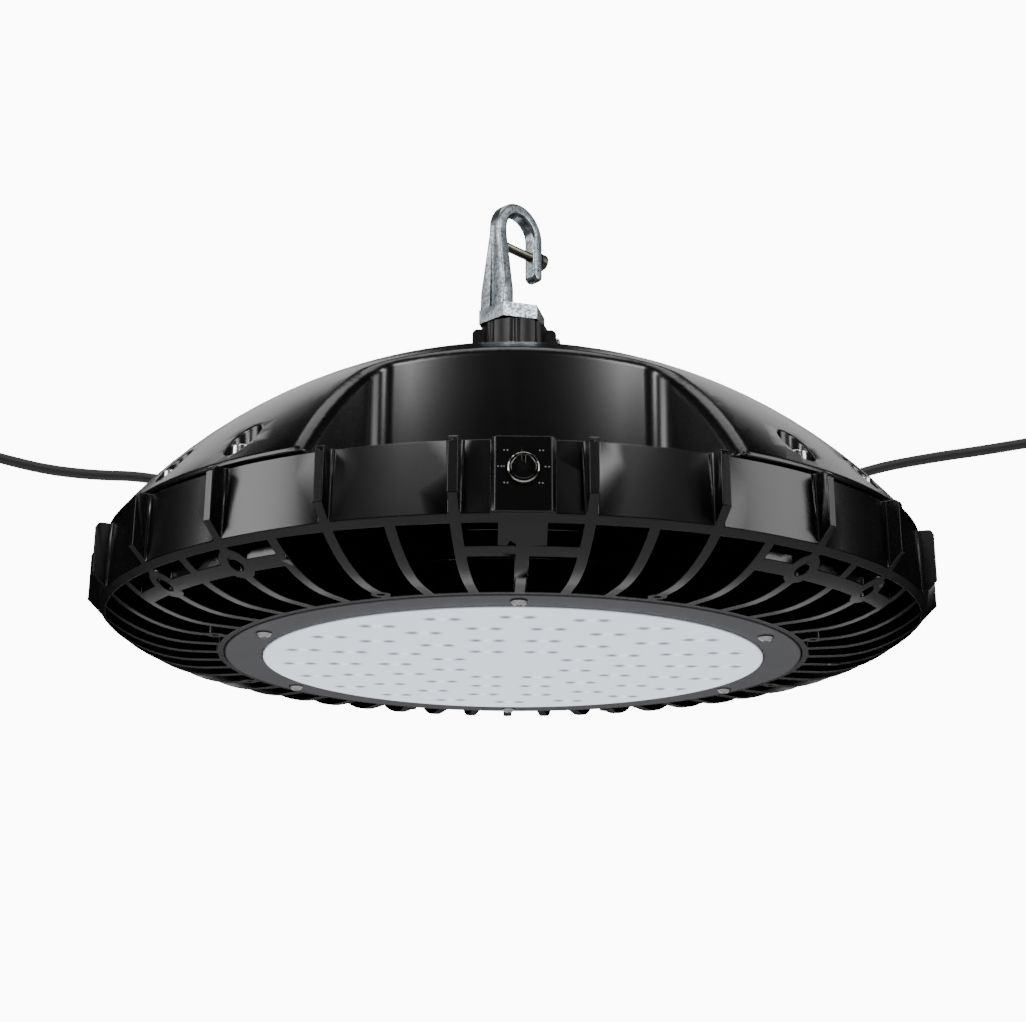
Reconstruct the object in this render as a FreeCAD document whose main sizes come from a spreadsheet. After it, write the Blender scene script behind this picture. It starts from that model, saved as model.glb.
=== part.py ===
"""UFO high bay light: finned die-cast heatsink, domed cover, pendant hook, lens and selector dial.

Heights are written from the plane of the rim's lower edge, +Z up, with the dial toward -Y and +X to
the right. Every piece is then lowered by the height of the hook's seat, so that the origin is where
the hook hangs. Lengths are millimetres and angles are degrees.
"""
import FreeCAD
import Part
import math
import os
import Sketcher
from types import SimpleNamespace

Vector = FreeCAD.Vector
doc = FreeCAD.newDocument("high_bay_light")
sheet = doc.addObject("Spreadsheet::Sheet", "sizes")

SIZES = {
    # Heatsink: rim, bowl and base
    "rim_radius": 200.0,
    "rim_draft": 0.9,
    "rim_height": 30.0,
    "rim_wall": 3.1,
    "rim_bevel": 3.0,
    "base_depth": 17.0,
    "bowl_flat_width": 11.9,
    "base_plate": 6.0,
    "ring_wall": 3.2,
    # Heatsink: fins, ribs and central chamber
    "fin_count": 48.0,
    "fin_thickness": 4.6,
    "fin_drop": 3.0,
    "hub_radius": 122.0,
    "hub_wall": 5.0,
    "deck_thickness": 5.0,
    "rib_count": 24.0,
    "rib_thickness": 4.0,
    "rib_reach": 6.5,
    "rib_root": 1.8,
    "rib_chamfer": 6.5,
    "rib_round": 2.2,
    # Heatsink: screw plates, bosses and pod
    "screw_inset": 11.2,
    "plate_inset": 15.7,
    "plate_width": 6.4,
    "plate_top": -2.5,
    "boss_radius": 7.6,
    "reflector_inset": 4.9,
    "reflector_boss": 4.2,
    "reflector_hole": 1.6,
    "pod_width": 24.6,
    "pod_reach": 3.0,
    "pod_core_width": 19.2,
    "pod_core_depth": 13.0,
    "pod_bevel": 1.6,
    "crossbar_width": 5.6,
    "web_thickness": 5.7,
    "wire_hole": 1.4,
    # Light engine
    "lens_radius": 122.3,
    "lens_proud": 0.9,
    "lens_thickness": 3.0,
    "lens_flange": 4.6,
    "lens_gasket": 1.0,
    "bezel_width": 18.3,
    "bezel_thickness": 2.6,
    "bezel_proud": 0.5,
    "bezel_screw_inset": 9.5,
    "bezel_screw_count": 6.0,
    "bezel_screw_radius": 2.0,
    "bezel_screw_head": 3.8,
    "bezel_screw_depth": 8.0,
    "board_inset": 3.3,
    "board_thickness": 1.6,
    "pad_thickness": 0.4,
    "board_screw_share": 0.378,
    "board_screw_radius": 1.5,
    "board_wire_reach": 72.0,
    "board_wire_hole": 4.0,
    "led_width": 3.0,
    "led_height": 0.7,
    "led_room": 0.8,
    "led_pair_pitch": 10.5,
    # Cover
    "cover_gap": 1.2,
    "cover_edge": 2.2,
    "cover_apex": 133.0,
    "cover_wall": 3.5,
    "cover_round": 6.0,
    "drum_reach": 128.5,
    "drum_half_width": 62.0,
    "drum_bulge": 300.0,
    "drum_wall": 4.5,
    "window_splay": 22.5,
    "window_round": 10.0,
    "wing_hollow_angle": 29.2,
    "seal_width": 4.0,
    "seal_thickness": 1.2,
    "pocket_radius": 7.4,
    "pocket_floor": 36.5,
    "cover_screw_radius": 3.0,
    "cover_screw_head": 5.0,
    "pedestal_radius": 27.0,
    "pedestal_top": 142.0,
    # Collar and hook
    "collar_radius": 17.5,
    "collar_top": 161.1,
    "collar_stem": 11.0,
    "collar_flute": 1.4,
    "ear_reach": 22.0,
    "ear_width": 9.0,
    "ear_top": 159.0,
    "nut_height": 6.0,
    "lock_height": 153.0,
    "lock_radius": 2.0,
    "hook_turn": 45.0,
    "hook_foot_radius": 18.0,
    "hook_foot_height": 7.8,
    "hook_foot_offset": 1.7,
    "hook_seat": 226.0,
    "hook_inner_radius": 10.3,
    "hook_offset": 1.2,
    "hook_bar": 6.8,
    "hook_bar_width": 8.0,
    "hook_tip": 192.5,
    "hook_round": 1.8,
    "hook_shoulder": 178.0,
    "hook_neck": 212.0,
    "hook_groove": 2.4,
    "hook_stud": 8.0,
    "keeper_height": 206.7,
    "keeper_radius": 2.5,
    "keeper_head": 4.6,
    # Driver and terminals
    "driver_length": 150.0,
    "driver_width": 90.0,
    "driver_height": 40.0,
    "driver_sheet": 1.5,
    "driver_standoff": 4.0,
    "driver_post_reach": 60.0,
    "driver_screw_reach": 68.0,
    "driver_screw_spread": 20.0,
    "driver_screw_radius": 2.0,
    "driver_board_length": 128.0,
    "terminal_length": 36.0,
    "terminal_height": 18.0,
    "terminal_pitch": 10.5,
    "terminal_reach": 72.0,
    # Selector
    "dial_height": 17.1,
    "dial_radius": 5.1,
    "dial_thickness": 2.4,
    "dial_ring_radius": 6.2,
    "dial_ring_thickness": 1.6,
    "dial_shaft": 2.0,
    "pod_wall": 3.0,
    "pod_lid": 1.5,
    "pod_lid_edge": 1.2,
    "wire_height": 20.0,
    "switch_width": 13.0,
    "switch_depth": 9.0,
    "switch_height": 14.0,
    # Leads
    "lead_diameter": 6.7,
    "gland_spread": 32.0,
    "gland_height": 80.0,
    "gland_radius": 8.0,
    "gland_inset": 2.5,
    "gland_wall": 3.6,
    "vent_height": 52.0,
    "vent_radius": 6.0,
    "fit": 0.3,
    "thread_gap": 0.1,
}


class Size:
    """A value of the sheet, or worked out from it, with the expression that gives it."""

    def __init__(self, value, text):
        self.value = float(value)
        self.text = text

    def __add__(self, other):
        other = as_size(other)
        return Size(self.value + other.value, f"({self.text} + {other.text})")

    def __sub__(self, other):
        other = as_size(other)
        return Size(self.value - other.value, f"({self.text} - {other.text})")

    def __mul__(self, other):
        other = as_size(other)
        return Size(self.value * other.value, f"({self.text} * {other.text})")

    def __truediv__(self, other):
        other = as_size(other)
        return Size(self.value / other.value, f"({self.text} / {other.text})")

    def __neg__(self):
        return Size(-self.value, f"(0 - {self.text})")

    def __rsub__(self, other):
        return as_size(other) - self

    __radd__ = __add__
    __rmul__ = __mul__


def as_size(value):
    """A plain number as a size."""
    if isinstance(value, Size):
        return value
    return Size(value, repr(float(value)))


def root(size):
    """The square root of a size."""
    return Size(math.sqrt(size.value), f"sqrt({size.text})")


def sine(angle):
    """The sine of an angle in degrees."""
    angle = as_size(angle)
    return Size(math.sin(math.radians(angle.value)), f"sin({angle.text})")


def cosine(angle):
    """The cosine of an angle in degrees."""
    angle = as_size(angle)
    return Size(math.cos(math.radians(angle.value)), f"cos({angle.text})")


def fill_sheet():
    """Writes the driving sizes to the sheet and returns them by name."""
    for row, (name, value) in enumerate(SIZES.items(), start=1):
        sheet.set(f"A{row}", name)
        sheet.set(f"B{row}", str(value))
        sheet.setAlias(f"B{row}", name)
    doc.recompute()
    return SimpleNamespace(**{name: Size(sheet.get(name), f"sizes.{name}") for name in SIZES})


s = fill_sheet()
ZERO = Size(0, "0")
PIECES = []

# Radii and heights that several pieces share
gap_outer = s.rim_radius - s.rim_wall
rim_top_radius = s.rim_radius - s.rim_draft
pod_face = s.rim_radius + s.pod_reach
base_bottom = -s.base_depth
bezel_radius = s.lens_radius + s.bezel_width
bezel_screw_circle = s.lens_radius + s.bezel_screw_inset
board_radius = s.lens_radius - s.board_inset
ring_radius = bezel_radius + s.fit + s.ring_wall
reflector_circle = ring_radius + s.reflector_inset
board_screw_circle = board_radius * s.board_screw_share
bowl_flat_radius = ring_radius + s.bowl_flat_width
bowl_drop = s.base_depth - s.rim_bevel
bowl_run = gap_outer - bowl_flat_radius
bowl_radius = (bowl_run * bowl_run + bowl_drop * bowl_drop) / (bowl_drop * 2)
bezel_seat = base_bottom - s.bezel_proud + s.bezel_thickness
lens_top = bezel_seat + s.lens_thickness
lens_reach = s.lens_radius + s.lens_flange
gasket_seat = lens_top + s.lens_gasket
board_seat = lens_top + s.led_room + s.led_height + s.board_thickness + s.pad_thickness
base_top = board_seat + s.base_plate
fin_top = s.rim_height - s.fin_drop
screw_circle = s.rim_radius - s.screw_inset
cover_bottom = s.rim_height + s.cover_gap
deck_top = cover_bottom - s.seal_thickness
deck_bottom = deck_top - s.deck_thickness
chamber_radius = s.hub_radius - s.hub_wall
sphere_rise = s.cover_apex - cover_bottom - s.cover_edge
sphere_radius = (rim_top_radius * rim_top_radius + sphere_rise * sphere_rise) / (sphere_rise * 2)
sphere_centre = s.cover_apex - sphere_radius
hollow_radius = sphere_radius - s.cover_wall
chamber_reach = s.drum_reach - s.drum_wall
skirt_radius = chamber_reach + s.seal_width
drum_side = s.drum_reach - s.drum_half_width * s.drum_half_width / (s.drum_bulge * 2)
gland_seat = s.drum_reach - s.gland_inset
pedestal_wall = s.pedestal_top - s.base_plate
hook_centre = s.hook_seat - s.hook_inner_radius
hook_outer_radius = s.hook_inner_radius + s.hook_bar
hook_tip_face = s.hook_offset + hook_outer_radius
fin_pitch = as_size(360) / s.fin_count
pocket_angles = [fin_pitch * side + (quarter * 90 + 45) for quarter in range(4) for side in (-1, 1)]


def sphere_height(radius, ball=None):
    """The height of the dome, or of its inner face, at a distance from the axis."""
    ball = ball or sphere_radius
    return sphere_centre + root(ball * ball - radius * radius)


def around(radius, angle):
    """The plan point at a radius and at an angle turned from the front, -Y, toward +X."""
    angle = as_size(angle)
    return radius * sine(angle), -(radius * cosine(angle))


# Rows of emitters: share of the board's radius, pairs in the row, angle of the first pair
LED_CIRCLES = [(0.286, 8, 22.5), (0.487, 14, 12.857), (0.697, 18, 10.0), (0.882, 20, 0.0)]
BOARD_SCREW_ANGLES = [60, 180, 300]


# Drawing and feature helpers


def new_body(label):
    """A body that hangs below the hook's seat."""
    body = doc.addObject("PartDesign::Body", label)
    body.Label = label
    body.setExpression("Placement.Base.z", (-s.hook_seat).text)
    return body


def sub_part(label):
    """A body that is handed on as a piece of its own."""
    body = new_body(label)
    PIECES.append(body)
    return body


def tool_body(label):
    """A body that only shapes another one."""
    body = doc.addObject("PartDesign::Body", label)
    body.Label = label
    return body


def sketch_on(body, role, offset=None, turn=0):
    """A sketch on one of the body's planes, moved along the plane's normal and turned about Z."""
    sketch = body.newObject("Sketcher::SketchObject", f"{body.Name}_sketch")
    support = [plane for plane in body.Origin.OriginFeatures if plane.Role == role][0]
    sketch.AttachmentSupport = [(support, "")]
    sketch.MapMode = "FlatFace"
    if turn:
        upward = Vector(0, 0, 1) if role == "XY_Plane" else Vector(0, 1, 0)
        sketch.AttachmentOffset = FreeCAD.Placement(Vector(), FreeCAD.Rotation(upward, 1))
        sketch.setExpression("AttachmentOffset.Rotation.Angle", as_size(turn).text)
    if offset is not None:
        sketch.setExpression("AttachmentOffset.Base.z", offset.text)
    return sketch


def pin_point(sketch, geometry, position, x, y):
    """Fixes a point of the sketch at sheet-driven coordinates."""
    for kind, value, axis in (("DistanceX", x, -2), ("DistanceY", y, -1)):
        if value.text == "0":
            sketch.addConstraint(Sketcher.Constraint("PointOnObject", geometry, position, axis))
            continue
        name = f"{kind}_{geometry}_{position}"
        rule = Sketcher.Constraint(kind, -1, 1, geometry, position, value.value)
        index = sketch.addConstraint(rule)
        sketch.renameConstraint(index, name)
        sketch.setExpression(f"Constraints.{name}", value.text)


def arc_between(start, end, bend):
    """The short arc from start to end; a positive bend has its centre on the left of the way."""
    way = end - start
    half = way.Length / 2
    left = Vector(-way.y, way.x, 0).normalize()
    reach = math.sqrt(max(bend * bend - half * half, 0.0))
    centre = (start + end) / 2 + left * math.copysign(reach, bend)
    first, last = (start, end) if bend > 0 else (end, start)
    angles = [math.atan2(point.y - centre.y, point.x - centre.x) for point in (first, last)]
    circle = Part.Circle(centre, Vector(0, 0, 1), abs(bend))
    return Part.ArcOfCircle(circle, angles[0], angles[1])


def outline(sketch, corners, bends=None):
    """A closed outline through the corners; bends gives the radius of each side that is an arc."""
    bends = bends or {}
    corners = [(as_size(x), as_size(y)) for x, y in corners]
    points = [Vector(x.value, y.value, 0) for x, y in corners]
    count = len(points)
    sides = []
    for index, start in enumerate(points):
        end = points[(index + 1) % count]
        bend = bends.get(index)
        if bend is None:
            side = sketch.addGeometry(Part.LineSegment(start, end), False)
            sides.append((side, 1, 2))
            continue
        side = sketch.addGeometry(arc_between(start, end, bend.value), False)
        sides.append((side, 1, 2) if bend.value > 0 else (side, 2, 1))
    for index, (side, first, last) in enumerate(sides):
        following, start, _ = sides[(index + 1) % count]
        sketch.addConstraint(Sketcher.Constraint("Coincident", side, last, following, start))
        pin_point(sketch, side, first, *corners[index])
        bend = bends.get(index)
        if bend is None:
            continue
        size = bend if bend.value > 0 else -bend
        chord = points[(index + 1) % count] - points[index]
        if abs(chord.Length / 2 - size.value) < 1e-6:
            sketch.addConstraint(Sketcher.Constraint("Horizontal", side, 3, side, first))
        else:
            rule = sketch.addConstraint(Sketcher.Constraint("Radius", side, size.value))
            sketch.renameConstraint(rule, f"Bend_{side}")
            sketch.setExpression(f"Constraints.Bend_{side}", size.text)


def circle(sketch, x, y, radius):
    """A circle with a sheet-driven place and radius."""
    x, y, radius = as_size(x), as_size(y), as_size(radius)
    ring = Part.Circle(Vector(x.value, y.value, 0), Vector(0, 0, 1), radius.value)
    index = sketch.addGeometry(ring, False)
    pin_point(sketch, index, 3, x, y)
    rule = sketch.addConstraint(Sketcher.Constraint("Radius", index, radius.value))
    sketch.renameConstraint(rule, f"Round_{index}")
    sketch.setExpression(f"Constraints.Round_{index}", radius.text)


def rectangle(sketch, left, bottom, right, top):
    """A rectangle between two sheet-driven corners."""
    outline(sketch, [(left, bottom), (right, bottom), (right, top), (left, top)])


def extrude(body, kind, sketch, length, away=False, middle=False):
    """A pad or pocket of the sketch, along its normal, or the other way."""
    feature = body.newObject(f"PartDesign::{kind}", f"{body.Name}_{kind.lower()}")
    feature.Profile = sketch
    feature.setExpression("Length", as_size(length).text)
    feature.Reversed = away
    if middle:
        feature.SideType = "Symmetric"
    body.Tip = feature
    return feature


def spin(body, kind, sketch, angle=360, middle=False):
    """A revolution or groove of the sketch about its own vertical axis."""
    feature = body.newObject(f"PartDesign::{kind}", f"{body.Name}_{kind.lower()}")
    feature.Profile = sketch
    feature.ReferenceAxis = (sketch, ["V_Axis"])
    feature.setExpression("Angle", as_size(angle).text)
    feature.Midplane = middle
    body.Tip = feature
    return feature


def repeat(body, features, count, arc=360):
    """Copies of the features about the body's Z axis, evenly spaced."""
    pattern = body.newObject("PartDesign::PolarPattern", f"{body.Name}_pattern")
    pattern.Originals = features
    axis = [line for line in body.Origin.OriginFeatures if line.Role == "Z_Axis"][0]
    pattern.Axis = (axis, [""])
    pattern.Angle = arc
    pattern.setExpression("Occurrences", as_size(count).text)
    body.Tip = pattern
    return pattern


def soften(body, kind, size, chosen):
    """Rounds or chamfers the edges of the body's tip that the test picks."""
    doc.recompute()
    base = body.Tip
    names = [f"Edge{i}" for i, edge in enumerate(base.Shape.Edges, start=1) if chosen(edge)]
    feature = body.newObject(f"PartDesign::{kind}", f"{body.Name}_{kind.lower()}")
    feature.Base = (base, names)
    feature.setExpression("Radius" if kind == "Fillet" else "Size", as_size(size).text)
    body.Tip = feature
    return feature


def upright(edge):
    """Whether an edge is a straight vertical line."""
    if not isinstance(edge.Curve, Part.Line):
        return False
    ends = [vertex.Point for vertex in edge.Vertexes]
    return (ends[0] - ends[1]).cross(Vector(0, 0, 1)).Length < 1e-4


def round_body(label, profile, bends=None):
    """A turned sub-part from the half profile of its section."""
    body = sub_part(label)
    sketch = sketch_on(body, "XZ_Plane")
    outline(sketch, profile, bends)
    spin(body, "Revolution", sketch)
    return body


def shape_part(label, shapes):
    """A sub-part made of a swept solid, a turned one, or a group of like ones."""
    feature = doc.addObject("Part::Feature", label)
    feature.Label = label
    feature.Shape = Part.makeCompound(shapes)
    feature.setExpression("Placement.Base.z", (-s.hook_seat).text)
    PIECES.append(feature)
    return feature


def placed(shape, x, y, z, turn=0, axis=(0, 0, 1)):
    """A copy of the shape, turned about an axis through the origin and then moved."""
    copy = shape.copy()
    copy.rotate(Vector(), Vector(*axis), turn)
    copy.translate(Vector(float(x), float(y), float(z)))
    return copy


# Heatsink


def make_heatsink():
    """The finned casting: rim, bowl, base disc, chamber wall, ribs, screw plates and pod."""
    body = sub_part("heatsink")
    blank = sketch_on(body, "XZ_Plane")
    recess = bezel_radius + s.fit
    outline(blank, [
        (ZERO, board_seat), (board_radius + s.fit, board_seat), (board_radius + s.fit, gasket_seat),
        (lens_reach + s.fit, gasket_seat), (lens_reach + s.fit, bezel_seat), (recess, bezel_seat),
        (recess, base_bottom), (bowl_flat_radius, base_bottom), (gap_outer, -s.rim_bevel),
        (s.rim_radius, ZERO), (rim_top_radius, s.rim_height), (gap_outer - s.fit, s.rim_height),
        (gap_outer - s.fit, fin_top), (ring_radius, fin_top), (ring_radius, deck_top),
        (chamber_radius, deck_top), (chamber_radius, base_top), (ZERO, base_top),
    ], {7: bowl_radius})
    spin(body, "Revolution", blank)
    cut_fin_gaps(body)
    combine(body, "Fuse", make_ribs())
    combine(body, "Fuse", make_bosses())
    combine(body, "Cut", make_holes())
    return body


def combine(body, kind, tool):
    """Joins a tool body to the body, or cuts it away."""
    boolean = body.newObject("PartDesign::Boolean", f"{kind}_{tool.Label}")
    boolean.Type = kind
    boolean.Group = [tool]
    body.Tip = boolean
    return boolean


def gap_outline(sketch, inner):
    """The space between the fin on the X axis and the next one, with sides parallel to the fins."""
    half = s.fin_thickness / 2
    turn = fin_pitch
    corners = []
    for radius in (inner, gap_outer):
        along = root(radius * radius - half * half)
        near = (along, half)
        far = (along * cosine(turn) + half * sine(turn), along * sine(turn) - half * cosine(turn))
        corners.append((near, far))
    (inner_near, inner_far), (outer_near, outer_far) = corners
    outline(sketch, [inner_near, outer_near, outer_far, inner_far], {1: gap_outer, 3: -inner})


def cut_fin_gaps(body):
    """Opens the spaces between the fins: right through outside the base, and above it up to the deck."""
    outer = sketch_on(body, "XY_Plane", base_bottom - 1)
    gap_outline(outer, ring_radius)
    through = extrude(body, "Pocket", outer, s.rim_height + s.base_depth + 2, away=True)
    upper = sketch_on(body, "XY_Plane", base_top)
    gap_outline(upper, s.hub_radius)
    over_base = extrude(body, "Pocket", upper, deck_bottom - base_top, away=True)
    repeat(body, [through, over_base], s.fin_count)


def make_ribs():
    """Upright ribs on the rim at every second fin, with flared roots, cut feet and round tops."""
    body = tool_body("ribs")
    sketch = sketch_on(body, "XY_Plane", turn=fin_pitch)
    half = s.rib_thickness / 2
    inside = gap_outer + 1
    outside = s.rim_radius + s.rib_reach
    wide = half + s.rib_root
    knee = rim_top_radius + s.rib_root
    outline(sketch, [
        (inside, -wide), (rim_top_radius - 0.2, -wide), (knee, -half), (outside, -half),
        (outside, half), (knee, half), (rim_top_radius - 0.2, wide), (inside, wide),
    ], {1: -(s.rib_root * 1.6), 5: -(s.rib_root * 1.6)})
    repeat(body, [extrude(body, "Pad", sketch, s.rim_height)], s.rib_count)
    foot = sketch_on(body, "XZ_Plane")
    outline(foot, [
        (s.rim_radius - 1, ZERO), (s.rim_radius, ZERO), (outside, s.rib_chamfer),
        (outside + 4, s.rib_chamfer), (outside + 4, as_size(-4)), (s.rim_radius - 1, as_size(-4)),
    ])
    spin(body, "Groove", foot)
    over = sketch_on(body, "XZ_Plane")
    shoulder = s.rim_height - s.rib_round
    outline(over, [
        (outside - s.rib_round, s.rim_height), (outside - s.rib_round, s.rim_height + 2),
        (outside + 2, s.rim_height + 2), (outside + 2, shoulder), (outside, shoulder),
    ], {4: s.rib_round})
    spin(body, "Groove", over)
    return body


def ring_sector(sketch, inner, outer, first, last):
    """A part of a flat ring between two angles from the front."""
    corners = [around(inner, first), around(outer, first), around(outer, last), around(inner, last)]
    outline(sketch, corners, {1: outer, 3: -inner})


def make_bosses():
    """What stands among the fins: screw plates and bosses, the pod and its bridge, reflector bosses."""
    body = tool_body("bosses")
    low = base_bottom + 1
    plates = sketch_on(body, "XY_Plane", low)
    inner = s.rim_radius - s.plate_inset
    for quarter in range(4):
        middle = quarter * 90 + 45
        ring_sector(plates, inner, inner + s.plate_width, middle - fin_pitch * 2, middle + fin_pitch * 2)
    back = s.rim_radius - s.pod_core_depth
    ring_sector(plates, back - s.crossbar_width, back, -fin_pitch, fin_pitch)
    extrude(body, "Pad", plates, s.plate_top - low)
    bosses = sketch_on(body, "XY_Plane", low)
    for angle in pocket_angles:
        circle(bosses, *around(screw_circle, angle), s.boss_radius)
    extrude(body, "Pad", bosses, cover_bottom - low)
    core = sketch_on(body, "XY_Plane", low)
    half = s.pod_core_width / 2
    rectangle(core, -half, -(gap_outer + 1), half, -back)
    extrude(body, "Pad", core, s.rim_height - low)
    web = sketch_on(body, "XY_Plane", low)
    half = s.web_thickness / 2
    rectangle(web, -half, -back - 1, half, -(ring_radius - 1))
    extrude(body, "Pad", web, fin_top - low)
    under = sketch_on(body, "XZ_Plane")
    below = base_bottom - 4
    outline(under, [
        (bowl_flat_radius, base_bottom), (gap_outer, -s.rim_bevel), (s.rim_radius, ZERO),
        (s.rim_radius + 4, ZERO), (s.rim_radius + 4, below), (bowl_flat_radius, below),
    ], {0: bowl_radius})
    spin(body, "Groove", under)
    face = sketch_on(body, "XY_Plane")
    half = s.pod_width / 2
    edge = s.pod_bevel
    outline(face, [
        (-half, -gap_outer), (-half, -(pod_face - edge)), (-(half - edge), -pod_face),
        (half - edge, -pod_face), (half, -(pod_face - edge)), (half, -gap_outer),
    ])
    extrude(body, "Pad", face, s.rim_height)
    small = sketch_on(body, "XY_Plane", base_bottom)
    for count in range(8):
        circle(small, *around(reflector_circle, count * 45 + 22.5), s.reflector_boss)
    extrude(body, "Pad", small, base_top - base_bottom)
    return body


def make_holes():
    """Holes for the cover, bezel, board, driver and reflector screws, the wires and the selector."""
    body = tool_body("holes")
    under = base_bottom - 1
    holes = sketch_on(body, "XY_Plane", under)
    for angle in pocket_angles:
        circle(holes, *around(screw_circle, angle), s.cover_screw_radius)
    extrude(body, "Pad", holes, cover_bottom + 1 - under)
    bezel = sketch_on(body, "XY_Plane", bezel_seat - 1)
    for count in range(int(s.bezel_screw_count.value)):
        angle = as_size(360) / s.bezel_screw_count * count
        circle(bezel, *around(bezel_screw_circle, angle), s.bezel_screw_radius)
    extrude(body, "Pad", bezel, s.bezel_screw_depth + 2)
    small = sketch_on(body, "XY_Plane", under)
    for count in range(8):
        circle(small, *around(reflector_circle, count * 45 + 22.5), s.reflector_hole)
    extrude(body, "Pad", small, s.base_plate + 3)
    board = sketch_on(body, "XY_Plane", board_seat - 1)
    for angle in BOARD_SCREW_ANGLES:
        circle(board, *around(board_screw_circle, angle), s.board_screw_radius)
    extrude(body, "Pad", board, s.base_plate - 0.5)
    wires = sketch_on(body, "XY_Plane", board_seat - 1)
    circle(wires, ZERO, -s.board_wire_reach, s.board_wire_hole)
    extrude(body, "Pad", wires, s.base_plate + 2)
    driver = sketch_on(body, "XY_Plane", base_top + 1)
    for side in (-1, 1):
        for end in (-1, 1):
            circle(driver, s.driver_screw_reach * side, s.driver_screw_spread * end, s.driver_screw_radius)
    extrude(body, "Pad", driver, s.base_plate - 0.5, away=True)
    hollow_pod(body)
    return body


def hollow_pod(body):
    """The switch's chamber in the pod, its lid seat, the shaft hole and the wire passage."""
    half = s.switch_width / 2 + s.fit
    front = pod_face - s.pod_wall
    back = front - s.switch_depth - s.fit * 2
    floor = s.dial_height - s.switch_height / 2 - s.fit
    chamber = sketch_on(body, "XY_Plane", s.rim_height + 1)
    rectangle(chamber, -half, -front, half, -back)
    extrude(body, "Pad", chamber, s.rim_height - floor + 1, away=True)
    lid = sketch_on(body, "XY_Plane", s.rim_height + 1)
    edge = s.pod_lid_edge
    rectangle(lid, -(half + edge), -(front + edge), half + edge, -(back - edge))
    extrude(body, "Pad", lid, s.pod_lid + 1, away=True)
    shaft = sketch_on(body, "XZ_Plane", pod_face + 1)
    circle(shaft, ZERO, s.dial_height, s.dial_shaft + s.thread_gap)
    extrude(body, "Pad", shaft, s.pod_wall + 2, away=True)
    passage = sketch_on(body, "XZ_Plane", back + 1)
    circle(passage, ZERO, s.wire_height, s.wire_hole)
    extrude(body, "Pad", passage, back + 2 - chamber_radius, away=True)


# Light engine under the base


def make_lens():
    """The frosted disc: a raised face inside the bezel and a flange clamped above it."""
    face = base_bottom - s.bezel_proud - s.lens_proud
    edge = s.lens_proud
    return round_body("lens", [
        (ZERO, face), (s.lens_radius - edge, face), (s.lens_radius, face + edge),
        (s.lens_radius, bezel_seat), (lens_reach, bezel_seat), (lens_reach, lens_top), (ZERO, lens_top),
    ], {1: edge})


def make_bezel():
    """The ring that clamps the lens, with six countersunk screw holes."""
    bottom = base_bottom - s.bezel_proud
    inner = s.lens_radius + s.fit
    body = round_body("bezel_ring", [
        (inner, bottom + 0.6), (inner + 0.6, bottom), (bezel_radius - 0.6, bottom),
        (bezel_radius, bottom + 0.6), (bezel_radius, bezel_seat), (inner, bezel_seat),
    ])
    holes = sketch_on(body, "XY_Plane", bottom)
    for count in range(int(s.bezel_screw_count.value)):
        angle = as_size(360) / s.bezel_screw_count * count
        circle(holes, *around(bezel_screw_circle, angle), s.bezel_screw_radius + s.fit)
    extrude(body, "Pocket", holes, s.bezel_thickness + 1, away=True)
    return body


def flat_ring(label, inner, outer, bottom, top):
    """A flat ring, such as a gasket or washer."""
    return round_body(label, [(inner, bottom), (outer, bottom), (outer, top), (inner, top)])


def make_light_engine():
    """The lens gasket, the heat pad, the board with its screws, and the rows of emitters."""
    flat_ring("lens_gasket", s.lens_radius - 2, lens_reach - 0.4, lens_top, gasket_seat)
    pad_bottom = board_seat - s.pad_thickness
    board_bottom = pad_bottom - s.board_thickness
    for label, low, high in (("heat_pad", pad_bottom, board_seat), ("led_board", board_bottom, pad_bottom)):
        body = sub_part(label)
        sketch = sketch_on(body, "XY_Plane", low)
        circle(sketch, ZERO, ZERO, board_radius)
        for angle in BOARD_SCREW_ANGLES:
            circle(sketch, *around(board_screw_circle, angle), s.board_screw_radius + s.fit)
        circle(sketch, ZERO, -s.board_wire_reach, s.board_wire_hole)
        extrude(body, "Pad", sketch, high - low)
    make_leds(board_bottom.value)


def make_leds(top):
    """Emitters in pairs along X, the pairs standing on four circles."""
    width = s.led_width.value
    height = s.led_height.value
    pitch = s.led_pair_pitch.value
    chip = Part.makeBox(width, width, height, Vector(-width / 2, -width / 2, top - height))
    chips = []
    for share, pairs, first in LED_CIRCLES:
        for count in range(pairs):
            x, y = around(board_radius * share, first + 360 / pairs * count)
            chips += [placed(chip, x.value + side * pitch / 2, y.value, 0) for side in (-1, 1)]
    return shape_part("led_emitters", chips)


# Fasteners


def hexagon_prism(corner_radius, height):
    """A six-sided prism on the plane Z = 0."""
    steps = [math.radians(60 * step) for step in range(7)]
    corners = [Vector(corner_radius * math.cos(step), corner_radius * math.sin(step), 0) for step in steps]
    return Part.Face(Part.makePolygon(corners)).extrude(Vector(0, 0, height))


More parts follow.
